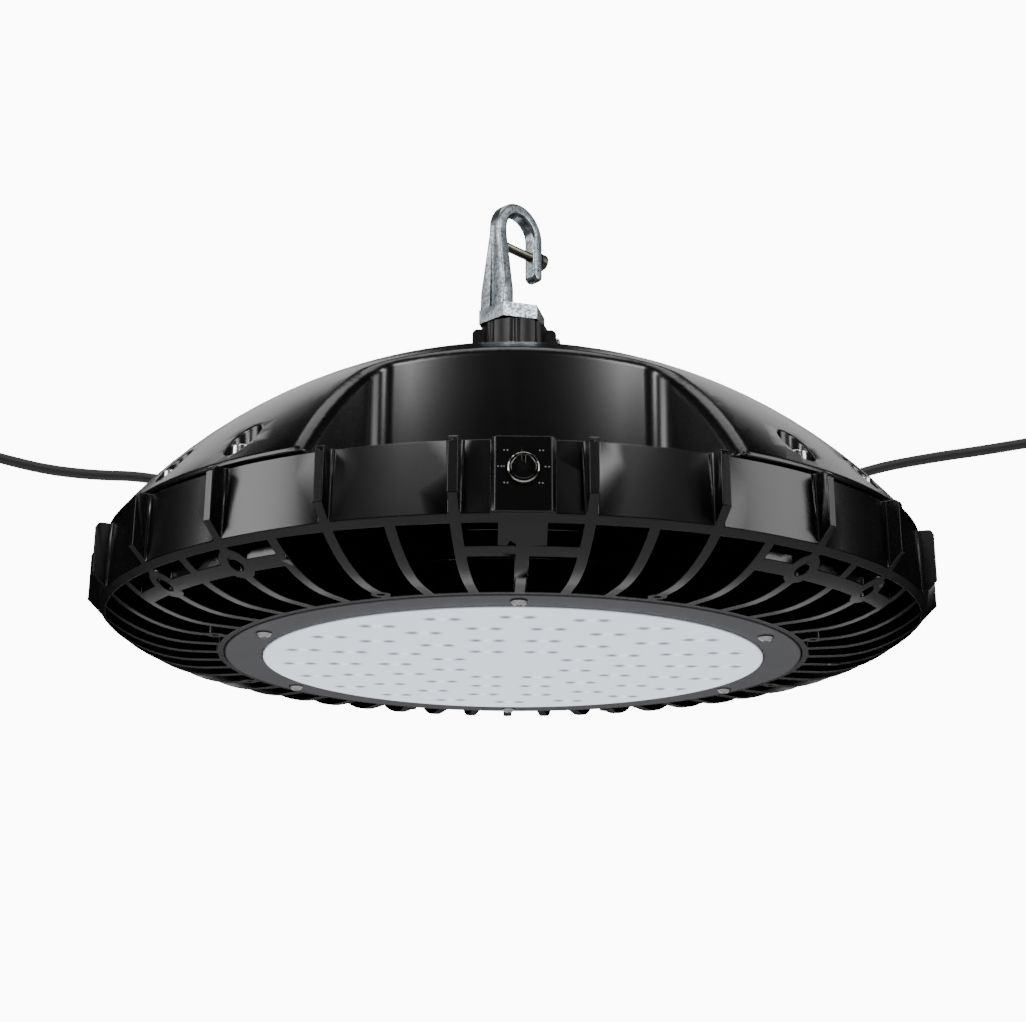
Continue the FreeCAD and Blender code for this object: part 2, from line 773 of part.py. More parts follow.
def screw_shape(head_radius, head_height, socket, shank_radius, shank_length, domed=0.0):
    """A screw along -Z with its head on the plane Z = 0 and a hexagon socket in the head."""
    profile = [
        Vector(0, 0, -shank_length), Vector(shank_radius - 0.4, 0, -shank_length),
        Vector(shank_radius, 0, 0.4 - shank_length), Vector(shank_radius, 0, 0), Vector(head_radius, 0, 0),
    ]
    edges = [Part.LineSegment(*pair).toShape() for pair in zip(profile, profile[1:])]
    top = Vector(0, 0, head_height)
    if domed:
        rim = Vector(head_radius, 0, head_height - domed)
        middle = Vector(head_radius * 0.62, 0, head_height - domed * 0.3)
        edges += [Part.LineSegment(profile[-1], rim).toShape(), Part.Arc(rim, middle, top).toShape()]
    else:
        side = Vector(head_radius, 0, head_height - 0.5)
        corner = Vector(head_radius - 0.5, 0, head_height)
        ends = [profile[-1], side, corner, top]
        edges += [Part.LineSegment(*pair).toShape() for pair in zip(ends, ends[1:])]
    edges.append(Part.LineSegment(top, profile[0]).toShape())
    solid = Part.Face(Part.Wire(edges)).revolve(Vector(), Vector(0, 0, 1), 360)
    hexagon = hexagon_prism(socket, head_height)
    hexagon.translate(Vector(0, 0, head_height * 0.45))
    return solid.cut(hexagon)


def screw_group(label, shape, places, turn=0, axis=(1, 0, 0)):
    """Identical screws in one sub-part, each at its own place."""
    upright_shape = placed(shape, 0, 0, 0, turn, axis)
    return shape_part(label, [placed(upright_shape, *place) for place in places])


def make_main_screws():
    """The cover, bezel and board screws."""
    length = s.pocket_floor.value - s.plate_top.value
    cap = screw_shape(s.cover_screw_head.value, s.cover_screw_radius.value * 2, 2.9,
                      s.cover_screw_radius.value - s.thread_gap.value, length)
    places = []
    for angle in pocket_angles:
        x, y = around(screw_circle, angle)
        places.append((x.value, y.value, s.pocket_floor.value))
    screw_group("cover_screws", cap, places)
    shank = s.bezel_screw_radius.value - s.thread_gap.value
    length = s.bezel_thickness.value + s.bezel_screw_depth.value
    button = screw_shape(s.bezel_screw_head.value, 2.5, 1.5, shank, length, domed=1.9)
    bottom = (base_bottom - s.bezel_proud).value
    count = int(s.bezel_screw_count.value)
    places = []
    for step in range(count):
        x, y = around(bezel_screw_circle, 360 / count * step)
        places.append((x.value, y.value, bottom))
    screw_group("bezel_screws", button, places, 180)
    low = (board_seat - s.pad_thickness - s.board_thickness).value
    tiny = screw_shape(2.4, 0.7, 1.0, s.board_screw_radius.value - s.thread_gap.value, 5.5, domed=0.4)
    places = []
    for angle in BOARD_SCREW_ANGLES:
        x, y = around(board_screw_circle, angle)
        places.append((x.value, y.value, low))
    screw_group("board_screws", tiny, places, 180)


# Cover


def make_cover():
    """The domed casting: cap, drum front and back, two hollow wings with screw pockets, pedestal."""
    body = sub_part("dome_cover")
    section = sketch_on(body, "XZ_Plane")
    shoulder = s.pedestal_radius + 3
    beyond = rim_top_radius + s.cover_round * 1.3
    low = cover_bottom - s.cover_round * 5
    outline(section, [
        (ZERO, low), (beyond, low), (beyond, sphere_height(beyond)), (shoulder, sphere_height(shoulder)),
        (s.pedestal_radius, s.pedestal_top), (ZERO, s.pedestal_top),
    ], {2: sphere_radius})
    spin(body, "Revolution", section)
    window = sketch_on(body, "XY_Plane", low - 1)
    window_outline(window)
    opening = extrude(body, "Pocket", window, s.pedestal_top - low + 2, away=True)
    repeat(body, [opening], 2)
    soften(body, "Fillet", s.window_round, is_window_corner)
    soften(body, "Fillet", s.cover_round, is_window_rim)
    trim = sketch_on(body, "XZ_Plane")
    above = s.rim_height * 2
    outline(trim, [
        (ZERO, low - 1), (beyond + 1, low - 1), (beyond + 1, above), (rim_top_radius, above),
        (rim_top_radius, cover_bottom), (ZERO, cover_bottom),
    ])
    spin(body, "Groove", trim)
    hollow_cover(body)
    bore_cover(body)
    return body


def window_outline(sketch):
    """The open bay before the drum: two splayed wing walls and the bulged drum front."""
    half = s.drum_half_width
    far = s.rim_radius * 1.2
    spread = half + (far - drum_side) * sine(s.window_splay) / cosine(s.window_splay)
    outline(sketch, [
        (-spread, -far), (spread, -far), (half, -drum_side), (-half, -drum_side),
    ], {2: -s.drum_bulge})


def is_window_corner(edge):
    """The upright edges where the drum front meets the wing walls."""
    place = edge.BoundBox.Center
    at_corner = abs(abs(place.x) - s.drum_half_width.value) < 0.01
    return upright(edge) and at_corner and abs(abs(place.y) - drum_side.value) < 0.01


def is_window_rim(edge):
    """The edges of the dome that run along the wing walls and over the drum front."""
    middle = edge.valueAt((edge.FirstParameter + edge.LastParameter) / 2)
    on_dome = abs(middle.distanceToPoint(Vector(0, 0, sphere_centre.value)) - sphere_radius.value) < 0.01
    return on_dome and edge.BoundBox.ZLength > 0.1 and abs(middle.y) > s.pedestal_radius.value


def hollow_cover(body):
    """The driver's chamber, and a hollow in each wing that leaves the screw pockets their walls."""
    chamber = sketch_on(body, "XZ_Plane")
    neck = s.pedestal_radius - s.base_plate
    outline(chamber, [
        (ZERO, cover_bottom), (chamber_reach, cover_bottom),
        (chamber_reach, sphere_height(chamber_reach, hollow_radius)),
        (neck, sphere_height(neck, hollow_radius)), (neck, pedestal_wall), (ZERO, pedestal_wall),
    ], {2: hollow_radius})
    spin(body, "Groove", chamber)
    hollows = tool_body("wing_hollows")
    rib = sketch_on(hollows, "XZ_Plane")
    reach = rim_top_radius - s.cover_wall * 2.2
    outline(rib, [
        (skirt_radius, cover_bottom), (reach, cover_bottom), (reach, sphere_height(reach, hollow_radius)),
        (skirt_radius, sphere_height(skirt_radius, hollow_radius)),
    ], {2: hollow_radius})
    sweep = as_size(180) - s.wing_hollow_angle * 2
    wing = spin(hollows, "Revolution", rib, sweep, middle=True)
    repeat(hollows, [wing], 2)
    posts = sketch_on(hollows, "XY_Plane", cover_bottom - 1)
    for angle in pocket_angles:
        circle(posts, *around(screw_circle, angle), s.pocket_radius + s.cover_wall * 0.8)
    extrude(hollows, "Pocket", posts, s.cover_apex, away=True)
    combine(body, "Cut", hollows)


def bore_cover(body):
    """The screw pockets and their holes, the collar's hole, and the flats and holes for the glands."""
    pockets = sketch_on(body, "XY_Plane", s.pocket_floor)
    for angle in pocket_angles:
        circle(pockets, *around(screw_circle, angle), s.pocket_radius)
    extrude(body, "Pocket", pockets, s.cover_apex, away=True)
    holes = sketch_on(body, "XY_Plane", cover_bottom - 1)
    for angle in pocket_angles:
        circle(holes, *around(screw_circle, angle), s.cover_screw_radius + s.fit)
    extrude(body, "Pocket", holes, s.pocket_floor - cover_bottom + 2, away=True)
    stem = sketch_on(body, "XY_Plane", pedestal_wall - 1)
    circle(stem, ZERO, ZERO, s.collar_stem + s.fit)
    extrude(body, "Pocket", stem, s.base_plate + 2, away=True)
    flats = sketch_on(body, "XZ_Plane", -gland_seat)
    inner = sketch_on(body, "XZ_Plane", -(gland_seat - s.gland_wall))
    bores = sketch_on(body, "XZ_Plane", -(gland_seat + 1))
    for side in (-1, 1):
        for sketch, radius in ((flats, 13.0), (inner, 12.5), (bores, s.gland_radius + s.fit)):
            circle(sketch, s.gland_spread * side, s.gland_height, radius)
    circle(flats, ZERO, s.vent_height, s.vent_radius + 3.2)
    circle(inner, ZERO, s.vent_height, s.vent_radius + 3.2)
    circle(bores, ZERO, s.vent_height, s.vent_radius + s.fit)
    extrude(body, "Pocket", flats, 20)
    extrude(body, "Pocket", inner, 12, away=True)
    extrude(body, "Pocket", bores, 20, away=True)


# Collar and hook


def make_collar():
    """The fluted collar on the pedestal: two ears, a stem through the cover and the hook's thread."""
    body = sub_part("hook_collar")
    section = sketch_on(body, "XZ_Plane")
    stem_end = pedestal_wall - s.nut_height - 3
    bore = s.hook_stud + s.thread_gap
    outline(section, [
        (bore, stem_end), (s.collar_stem, stem_end), (s.collar_stem, s.pedestal_top),
        (s.collar_radius, s.pedestal_top), (s.collar_radius, s.collar_top - 1),
        (s.collar_radius - 1, s.collar_top), (bore, s.collar_top),
    ])
    spin(body, "Revolution", section)
    flute = sketch_on(body, "XY_Plane", s.pedestal_top + 3)
    circle(flute, s.collar_radius + 3 - s.collar_flute, ZERO, 3.0)
    repeat(body, [extrude(body, "Pocket", flute, s.collar_top, away=True)], 8)
    ears = sketch_on(body, "XZ_Plane")
    top = s.ear_top
    round_top = s.ear_width / 3
    for side in (-1, 1):
        inner = (s.collar_radius - 2) * side
        outer = s.ear_reach * side
        outline(ears, [
            (inner, s.pedestal_top), (outer, s.pedestal_top), (outer, top - round_top),
            (outer - round_top * side, top), (inner, top),
        ], {2: round_top * side})
    extrude(body, "Pad", ears, s.ear_width, middle=True)
    lock = sketch_on(body, "YZ_Plane", s.ear_reach + 1)
    circle(lock, ZERO, s.lock_height, s.lock_radius)
    extrude(body, "Pocket", lock, s.ear_reach + 1 - s.hook_stud)
    return body


def make_collar_fasteners():
    """The nut and washer under the pedestal, and the small screw that locks the hook's stud."""
    inner = s.collar_stem + s.thread_gap
    flat_ring("collar_washer", inner, s.collar_stem + 7, pedestal_wall - 1.5, pedestal_wall)
    nut = sub_part("collar_nut")
    sketch = sketch_on(nut, "XY_Plane", pedestal_wall - 1.5 - s.nut_height)
    flat = s.collar_stem + 5.5
    corners = [(flat * cosine(k * 60), flat * sine(k * 60)) for k in range(6)]
    outline(sketch, corners)
    circle(sketch, ZERO, ZERO, inner)
    extrude(nut, "Pad", sketch, s.nut_height)
    shank = (s.ear_reach - s.hook_stud).value
    lock = screw_shape(3.1, 2.4, 1.5, s.lock_radius.value - s.thread_gap.value, shank, domed=1.4)
    screw_group("hook_lock_screw", lock, [(s.ear_reach.value, 0, s.lock_height.value)], 90, (0, 1, 0))


def make_hook():
    """The cast hook: hexagonal foot, tapered shank, open bow with its tip hanging down, threaded stud."""
    body = sub_part("hook")
    body.Placement = FreeCAD.Placement(Vector(), FreeCAD.Rotation(Vector(0, 0, 1), 1))
    body.setExpression("Placement.Rotation.Angle", s.hook_turn.text)
    add_shank(body)
    add_bow(body)
    soften(body, "Fillet", s.hook_round, is_hook_edge)
    foot = sketch_on(body, "XY_Plane", s.collar_top)
    reach = s.hook_foot_radius
    angles = [corner * 60 + 30 for corner in range(6)]
    outline(foot, [(reach * cosine(angle) - s.hook_foot_offset, reach * sine(angle)) for angle in angles])
    extrude(body, "Pad", foot, s.hook_foot_height)
    stud = sketch_on(body, "XY_Plane", s.collar_top)
    circle(stud, ZERO, ZERO, s.hook_stud)
    extrude(body, "Pad", stud, s.collar_top - pedestal_wall, away=True)
    bore = sketch_on(body, "YZ_Plane", hook_tip_face + 1)
    circle(bore, ZERO, s.keeper_height, s.keeper_radius)
    extrude(body, "Pocket", bore, hook_outer_radius * 2 - 2)
    return body


def add_shank(body):
    """The shank and the half of the bow above it, widening toward the foot, with a slot down its back."""
    middle = s.hook_offset
    back = middle - hook_outer_radius
    inside = middle - s.hook_inner_radius
    foot = s.collar_top + s.hook_foot_height
    foot_back = -(s.hook_foot_radius * cosine(30)) - s.hook_foot_offset
    wide = s.hook_foot_radius / 2
    narrow = s.hook_bar_width / 2
    top = s.hook_seat + s.hook_bar
    side = sketch_on(body, "XZ_Plane")
    outline(side, [
        (foot_back, s.collar_top), (inside, s.collar_top), (inside, hook_centre), (middle, s.hook_seat),
        (middle, top), (back, hook_centre), (foot_back, foot),
    ], {2: -s.hook_inner_radius, 4: hook_outer_radius})
    extrude(body, "Pad", side, wide * 2, middle=True)
    for way in (-1, 1):
        taper = sketch_on(body, "YZ_Plane", foot_back - 1)
        outline(taper, [
            (wide * way, s.hook_shoulder), ((wide + 1) * way, s.hook_shoulder), ((wide + 1) * way, top + 1),
            (narrow * way, top + 1), (narrow * way, s.hook_neck),
        ])
        extrude(body, "Pocket", taper, middle - foot_back + 1, away=True)
    slot = sketch_on(body, "YZ_Plane", back)
    half = s.hook_groove / 2
    rectangle(slot, -half, foot, half, hook_centre)
    extrude(body, "Pocket", slot, s.hook_bar)


def add_bow(body):
    """The outer half of the bow and its hanging tip."""
    middle = s.hook_offset
    inside = middle + s.hook_inner_radius
    tip = s.hook_bar / 2
    low = s.hook_tip + tip
    bar = sketch_on(body, "XZ_Plane")
    outline(bar, [
        (middle, s.hook_seat), (inside, hook_centre), (inside, low), (hook_tip_face, low),
        (hook_tip_face, hook_centre), (middle, s.hook_seat + s.hook_bar),
    ], {0: -s.hook_inner_radius, 2: tip, 4: hook_outer_radius})
    extrude(body, "Pad", bar, s.hook_bar_width, middle=True)


def is_hook_edge(edge):
    """The long edges of the shank and the bow, without the slot and what lies across the bar."""
    box = edge.BoundBox
    in_slot = max(abs(box.YMin), abs(box.YMax)) < s.hook_groove.value
    return box.ZLength > 0.01 and not in_slot


def make_keeper():
    """The screw that closes the hook's mouth, from the tip into the shank."""
    length = (hook_outer_radius * 2).value - 4
    shank = s.keeper_radius.value - s.thread_gap.value
    shape = screw_shape(s.keeper_head.value, 5.4, 2.4, shank, length, domed=1.8)
    upright_shape = placed(shape, 0, 0, 0, 90, (0, 1, 0))
    across = placed(upright_shape, hook_tip_face.value, 0, s.keeper_height.value)
    return shape_part("hook_keeper_screw", [placed(across, 0, 0, 0, s.hook_turn.value)])


# Inside the cover


def box_body(label, width, depth, low, high, x=ZERO, y=ZERO):
    """A rectangular block, centred in plan at a point."""
    body = sub_part(label)
    sketch = sketch_on(body, "XY_Plane", low)
    width, depth = as_size(width) / 2, as_size(depth) / 2
    rectangle(sketch, as_size(x) - width, as_size(y) - depth, as_size(x) + width, as_size(y) + depth)
    extrude(body, "Pad", sketch, high - low)
    return body


def make_driver():
    """The power supply: a folded tray screwed to the floor, its board with parts, and a folded lid."""
    sheet_metal = s.driver_sheet
    floor = base_top
    tray = sub_part("driver_tray")
    half = s.driver_width / 2
    section = sketch_on(tray, "YZ_Plane", -(s.driver_length / 2))
    top = floor + s.driver_height
    outline(section, [
        (-half, floor), (half, floor), (half, top), (half - sheet_metal, top),
        (half - sheet_metal, floor + sheet_metal), (-half + sheet_metal, floor + sheet_metal),
        (-half + sheet_metal, top), (-half, top),
    ])
    extrude(tray, "Pad", section, s.driver_length)
    board_low = floor + sheet_metal + s.driver_standoff
    inside = s.driver_width - sheet_metal * 2 - s.fit
    posts = sketch_on(tray, "XY_Plane", floor + sheet_metal)
    holes = sketch_on(tray, "XY_Plane", floor)
    hole = s.driver_screw_radius + s.fit
    for side in (-1, 1):
        for end in (-1, 1):
            circle(posts, s.driver_post_reach * side, (inside / 2 - 8) * end, 3)
            circle(holes, s.driver_screw_reach * side, s.driver_screw_spread * end, hole)
    extrude(tray, "Pad", posts, s.driver_standoff)
    extrude(tray, "Pocket", holes, sheet_metal, away=True)
    board_top = board_low + s.board_thickness
    box_body("driver_board", s.driver_board_length, inside, board_low, board_top)
    box_body("driver_transformer", 38, 34, board_top, board_top + 24, x=as_size(-28))
    box_body("driver_heat_sink", 60, 3, board_top, board_top + 22, x=as_size(10), y=inside / 2 - 6)
    can = Part.makeCylinder(8, 22, Vector(0, 0, board_top.value))
    shape_part("driver_capacitors", [placed(can, x, -18, 0) for x in (8, 28, 48)])
    make_driver_lid(top)
    shape = screw_shape(3.4, 2.2, 1.3, s.driver_screw_radius.value - s.thread_gap.value, 4.8, domed=1.2)
    seat = (floor + sheet_metal).value
    reach, spread = s.driver_screw_reach.value, s.driver_screw_spread.value
    places = [(side * reach, end * spread, seat) for side in (-1, 1) for end in (-1, 1)]
    screw_group("driver_screws", shape, places)


def make_driver_lid(top):
    """The folded lid that stands on the tray's walls and laps their inner faces."""
    lid = sub_part("driver_lid")
    thick = s.driver_sheet
    half = s.driver_width / 2
    lap = half - thick - s.fit
    section = sketch_on(lid, "YZ_Plane", -(s.driver_length / 2))
    outline(section, [
        (-half, top), (-lap, top), (-lap, top - 6), (-lap + thick, top - 6), (-lap + thick, top),
        (lap - thick, top), (lap - thick, top - 6), (lap, top - 6), (lap, top), (half, top),
        (half, top + thick), (-half, top + thick),
    ])
    extrude(lid, "Pad", section, s.driver_length)


def make_terminal_block():
    """The mains terminal block on the chamber floor behind the driver, with its wire screws."""
    low = base_top
    high = base_top + s.terminal_height
    body = box_body("terminal_block", s.terminal_length, 16, low, high, y=s.terminal_reach)
    wells = sketch_on(body, "XY_Plane", high)
    mouths = sketch_on(body, "XZ_Plane", -(s.terminal_reach + 8))
    places = []
    for step in (-1, 0, 1):
        circle(wells, s.terminal_pitch * step, s.terminal_reach, 2.6)
        circle(mouths, s.terminal_pitch * step, low + 6, 2.2)
        places.append((s.terminal_pitch.value * step, s.terminal_reach.value, high.value - 3.9))
    extrude(body, "Pocket", wells, 5)
    extrude(body, "Pocket", mouths, 6, away=True)
    screw_group("terminal_screws", screw_shape(2.4, 1.8, 0.9, 1.2, 1.0), places)


def make_cover_gasket():
    """The round seal between the deck and the cover's skirt."""
    inner = chamber_reach + 0.4
    flat_ring("cover_gasket", inner, inner + s.seal_width - 0.8, deck_top, cover_bottom)


# Selector in the pod


def face_front(body):
    """Turns a piece that was made along Z so that it stands out of the pod's face, toward -Y."""
    body.Placement = FreeCAD.Placement(Vector(), FreeCAD.Rotation(Vector(1, 0, 0), 90))
    body.setExpression("Placement.Base.y", (-pod_face).text)
    body.setExpression("Placement.Base.z", (s.dial_height - s.hook_seat).text)
    return body


def make_selector():
    """The dial on its shaft, the bright ring around it, the switch behind it and the pod's lid."""
    inside = -(s.pod_wall + s.switch_depth * 0.55)
    edge = s.dial_radius - 0.8
    dial = round_body("selector_dial", [
        (ZERO, inside), (s.dial_shaft, inside), (s.dial_shaft, s.fit), (s.dial_radius, s.fit),
        (s.dial_radius, s.dial_thickness - 0.8), (edge, s.dial_thickness), (ZERO, s.dial_thickness - 0.3),
    ], {4: Size(0.8, "0.8")})
    slot = sketch_on(dial, "XY_Plane", s.dial_thickness)
    rectangle(slot, as_size(-0.6), s.dial_radius * 0.45, as_size(0.6), s.dial_radius * 0.9)
    extrude(dial, "Pocket", slot, 0.8)
    face_front(dial)
    inner = s.dial_radius + s.fit
    ring_top = s.dial_ring_thickness
    ring = round_body("selector_ring", [
        (inner, ZERO), (s.dial_ring_radius, ZERO), (s.dial_ring_radius, ring_top - 0.5),
        (s.dial_ring_radius - 0.5, ring_top), (inner, ring_top),
    ])
    face_front(ring)
    front = pod_face - s.pod_wall - s.fit
    back = front - s.switch_depth
    low = s.dial_height - s.switch_height / 2
    high = low + s.switch_height
    switch = box_body("selector_switch", s.switch_width, s.switch_depth, low, high, y=-(front + back) / 2)
    bore = sketch_on(switch, "XZ_Plane", front)
    circle(bore, ZERO, s.dial_height, s.dial_shaft + s.thread_gap)
    extrude(switch, "Pocket", bore, s.switch_depth * 0.65)
    half = s.switch_width / 2 + s.fit + s.pod_lid_edge - s.thread_gap
    wall = pod_face - s.pod_wall
    deep = s.switch_depth + s.fit * 2 + s.pod_lid_edge * 2 - s.thread_gap * 2
    middle = wall - s.switch_depth / 2 - s.fit
    box_body("pod_lid", half * 2, deep, s.rim_height - s.pod_lid, s.rim_height, y=-middle)


# Glands, vent and leads


def turned_shape(profile):
    """A solid turned about Z from radius and height pairs."""
    points = [Vector(float(radius), 0, float(height)) for radius, height in profile]
    return Part.Face(Part.makePolygon(points + points[:1])).revolve(Vector(), Vector(0, 0, 1), 360)


def toward_back(shape, x, height, seat):
    """A copy of a shape made along Z, pointing out of the drum's back wall."""
    return placed(placed(shape, 0, 0, 0, -90, (1, 0, 0)), x, seat, height)


def make_glands():
    """Two cable glands in the drum's back wall, each of a body, seal, cap nut and locknut, and the vent."""
    seat, wall = gland_seat.value, s.gland_wall.value
    spread, height = s.gland_spread.value, s.gland_height.value
    thread, cable = s.gland_radius.value, s.lead_diameter.value / 2
    neck = thread + 1
    bore = cable + 1.2
    loose = thread + s.thread_gap.value
    grip = neck + s.thread_gap.value
    tube = turned_shape([
        (bore, -wall - 6), (thread, -wall - 6), (thread, 0), (neck, 0), (neck, 12), (bore, 12),
    ])
    hexagon = hexagon_prism(13, 4).cut(Part.makeCylinder(thread, 4))
    shapes = {
        "gland_bodies": tube.fuse(hexagon).removeSplitter(),
        "gland_seals": turned_shape([(cable, 3), (bore, 3), (bore, 12), (cable, 12)]),
        "gland_locknuts": turned_shape([
            (loose, -wall - 4), (11.8, -wall - 4), (11.8, -wall), (loose, -wall),
        ]),
        "gland_cap_nuts": turned_shape([
            (grip, 4.2), (11.6, 4.2), (11.6, 14), (8.4, 18), (5.2, 18), (5.2, 12.2), (grip, 12.2),
        ]),
    }
    for label, shape in shapes.items():
        shape_part(label, [toward_back(shape, side * spread, height, seat) for side in (-1, 1)])
    radius = s.vent_radius.value
    rim = radius + 2.8
    vent = turned_shape([
        (0, -wall - 5), (radius, -wall - 5), (radius, 0), (rim, 0), (rim, 3), (rim - 1.2, 4.4), (0, 4.4),
    ])
    shape_part("breather_vent", [toward_back(vent, 0, s.vent_height.value, seat)])


LEFT_ROUTE = [
    (-32, 134, 80), (-32, 184, 80), (-57, 225, 96), (-98, 237, 111), (-139, 226, 123), (-181, 208, 131.5),
    (-226, 190, 139), (-264, 180, 136.3), (-300, 172, 139), (-334, 163.3, 147),
]
RIGHT_ROUTE = [
    (32, 134, 80), (32, 184, 80), (57, 225, 97), (98, 237, 112), (140, 227, 123), (182, 209, 133),
    (227, 187, 146.5), (266, 177, 152), (305, 170, 156), (344, 165, 162),
]


def route_wire(points):
    """Straight runs joined by tangent arcs, each arc as large as its two runs allow."""
    points = [Vector(*point) for point in points]
    edges = []
    radii = []
    last = points[0]
    for before, corner, after in zip(points, points[1:], points[2:]):
        towards, away = (before - corner), (after - corner)
        turn = math.pi - towards.getAngle(away)
        shorter = min(towards.Length, away.Length)
        cut = 0.45 * shorter
        radii.append(cut / math.tan(turn / 2))
        start = corner + towards.normalize() * cut
        end = corner + away.normalize() * cut
        inward = (towards + away).normalize()
        middle = corner + inward * (radii[-1] / math.cos(turn / 2) - radii[-1])
        edges += [Part.LineSegment(last, start).toShape(), Part.Arc(start, middle, end).toShape()]
        last = end
    edges.append(Part.LineSegment(last, points[-1]).toShape())
    return Part.Wire(edges), radii


def make_lead(side, points):
    """A lead as a round tube along its route, with the tapered relief at its start and its connector."""
    radius = s.lead_diameter.value / 2
    wire, radii = route_wire(points)
    start, beyond = Vector(*points[0]), Vector(*points[1])
    disc = Part.Wire([Part.Circle(start, beyond - start, radius).toShape()])
    tube = wire.makePipeShell([disc], True, False)
    length = wire.Length
    expected = math.pi * radius * radius * length
    print(f"{side} lead: length {length:.1f}, volume ratio {tube.Volume / expected:.4f}")
    print("  radii", [round(value, 1) for value in radii])
    shape_part(f"{side}_lead", [tube])
    relief = turned_shape([
        (radius, 14), (5.1, 14), (5.1, 18), (7.4, 18), (6.9, 21), (4.6, 35), (radius, 35),
    ])
    place = (points[0][0], points[0][2], gland_seat.value)
    shape_part(f"{side}_strain_relief", [toward_back(relief, *place)])
    end = Vector(*points[-1])
    along = end - Vector(*points[-2])
    plug = turned_shape([
        (0, 0), (4.6, 0), (6.4, 3), (6.4, 12), (9.6, 14),
        (9.6, 30), (8.4, 31), (8.4, 50), (7.8, 51), (0, 51),
    ])
    plug.Placement = FreeCAD.Placement(end, FreeCAD.Rotation(Vector(0, 0, 1), along))
    shape_part(f"{side}_connector", [plug])


# The whole light


def check_document():
    """Stops if any object failed or any cut removed nothing."""
    doc.recompute()
    faults = []
    for item in doc.Objects:
        if "Invalid" in item.State or "Error" in item.State:
            faults.append(f"{item.Name}: {item.State}")
        if item.TypeId in ("PartDesign::Pocket", "PartDesign::Groove"):
            before = item.BaseFeature.Shape.Volume if item.BaseFeature else 0
            if item.Shape.Volume > before - 1e-3:
                faults.append(f"{item.Name} removes nothing")
    for piece in PIECES:
        if piece.Shape.isNull() or not piece.Shape.isValid():
            faults.append(f"{piece.Label} has no valid shape")
    if faults:
        raise RuntimeError("; ".join(faults))


def export():
    """Writes each piece to its own file."""
    os.makedirs("parts", exist_ok=True)
    for piece in PIECES:
        piece.Shape.exportStep(f"parts/{piece.Label}.step")


make_heatsink()
make_lens()
make_bezel()
make_light_engine()
make_main_screws()
make_cover_gasket()
make_cover()
make_collar()
make_collar_fasteners()
make_hook()
make_keeper()
make_driver()
make_terminal_block()
make_selector()
make_glands()
make_lead("left", LEFT_ROUTE)
make_lead("right", RIGHT_ROUTE)
check_document()
export()
print(len(PIECES), "pieces")
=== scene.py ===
"""Looks of the high bay light: finned black casting, domed cover, frosted lens, dial, leads and hook.

The part hangs from the inner top of its hook's bow, which is the origin. +Z is up, -Y is toward the
selector dial and +X is to the right seen from the dial. Sizes in millimetres are turned to metres by MM.
"""
import logging
import math
from dataclasses import dataclass, field
from enum import Enum
from typing import Any, Iterable, Optional, Sequence

import bmesh
import bpy
from mathutils import Euler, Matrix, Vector


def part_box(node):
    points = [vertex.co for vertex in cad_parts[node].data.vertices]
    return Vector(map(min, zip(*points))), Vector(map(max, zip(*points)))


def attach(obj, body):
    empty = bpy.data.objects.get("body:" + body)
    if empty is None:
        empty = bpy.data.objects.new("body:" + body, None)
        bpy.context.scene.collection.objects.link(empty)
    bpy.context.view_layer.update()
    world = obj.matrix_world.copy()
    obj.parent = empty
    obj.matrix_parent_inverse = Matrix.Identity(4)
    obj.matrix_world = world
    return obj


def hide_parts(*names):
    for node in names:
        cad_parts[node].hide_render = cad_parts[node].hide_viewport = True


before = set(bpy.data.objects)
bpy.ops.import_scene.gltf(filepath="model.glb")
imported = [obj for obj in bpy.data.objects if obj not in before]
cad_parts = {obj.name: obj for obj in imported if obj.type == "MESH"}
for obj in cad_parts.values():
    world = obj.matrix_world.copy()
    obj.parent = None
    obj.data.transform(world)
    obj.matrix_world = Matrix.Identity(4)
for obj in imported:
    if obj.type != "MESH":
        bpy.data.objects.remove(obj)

LOG = logging.getLogger("high_bay_light")
MM = 0.001
HOOK_SEAT = 226.0  # height of the origin above the rim's lower edge, in mm
HOUSING = "housing"
DIAL_BODY = "selector_dial"
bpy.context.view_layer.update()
MOTTLE_LOW, MOTTLE_HIGH = 0.3, 0.7  # a noise seldom leaves this range, so a finish's gloss is spread over it
RELIEF_STRENGTH = 0.6
SAME_POINT = 0.002  # points nearer to each other than this, in mm, are one
FLAT_ANGLE = 0.5  # faces that turn by less than this, in degrees, are one flat face


class Side(Enum):
    """The side of the light that a lead runs to."""

    LEFT = "left"
    RIGHT = "right"


def linear(colour: str) -> tuple[float, float, float, float]:
    """Turns an sRGB hex colour to linear light.

    Args:
        colour: Six hex digits, such as "1c1c1e".

    Returns:
        Red, green, blue and a full alpha.
    """
    channels = [int(colour[i:i + 2], 16) / 255 for i in (0, 2, 4)]
    curved = [c / 12.92 if c <= 0.04045 else ((c + 0.055) / 1.055) ** 2.4 for c in channels]
    return (*curved, 1.0)


def add_node(
    tree: bpy.types.NodeTree,
    kind: str,
    values: Optional[dict[Any, Any]] = None,
    links: Optional[dict[Any, bpy.types.NodeSocket]] = None,
    **settings: Any,
) -> bpy.types.Node:
    """Adds a shader node.

    Args:
        tree: The material's node tree.
        kind: The node's type without its ShaderNode prefix.
        values: Input socket values, by name or number.
        links: Output sockets that feed this node's inputs, by name or number.
        settings: The node's own properties.

    Returns:
        The new node.
    """
    node = tree.nodes.new(f"ShaderNode{kind}")
    for name, value in settings.items():
        setattr(node, name, value)
    for name, value in (values or {}).items():
        node.inputs[name].default_value = value
    for name, socket in (links or {}).items():
        tree.links.new(socket, node.inputs[name])
    return node


def per_mm(size: float) -> float:
    """The scale of a noise or cell pattern whose marks are this many millimetres apart."""
    return 1.0 / (size * MM)


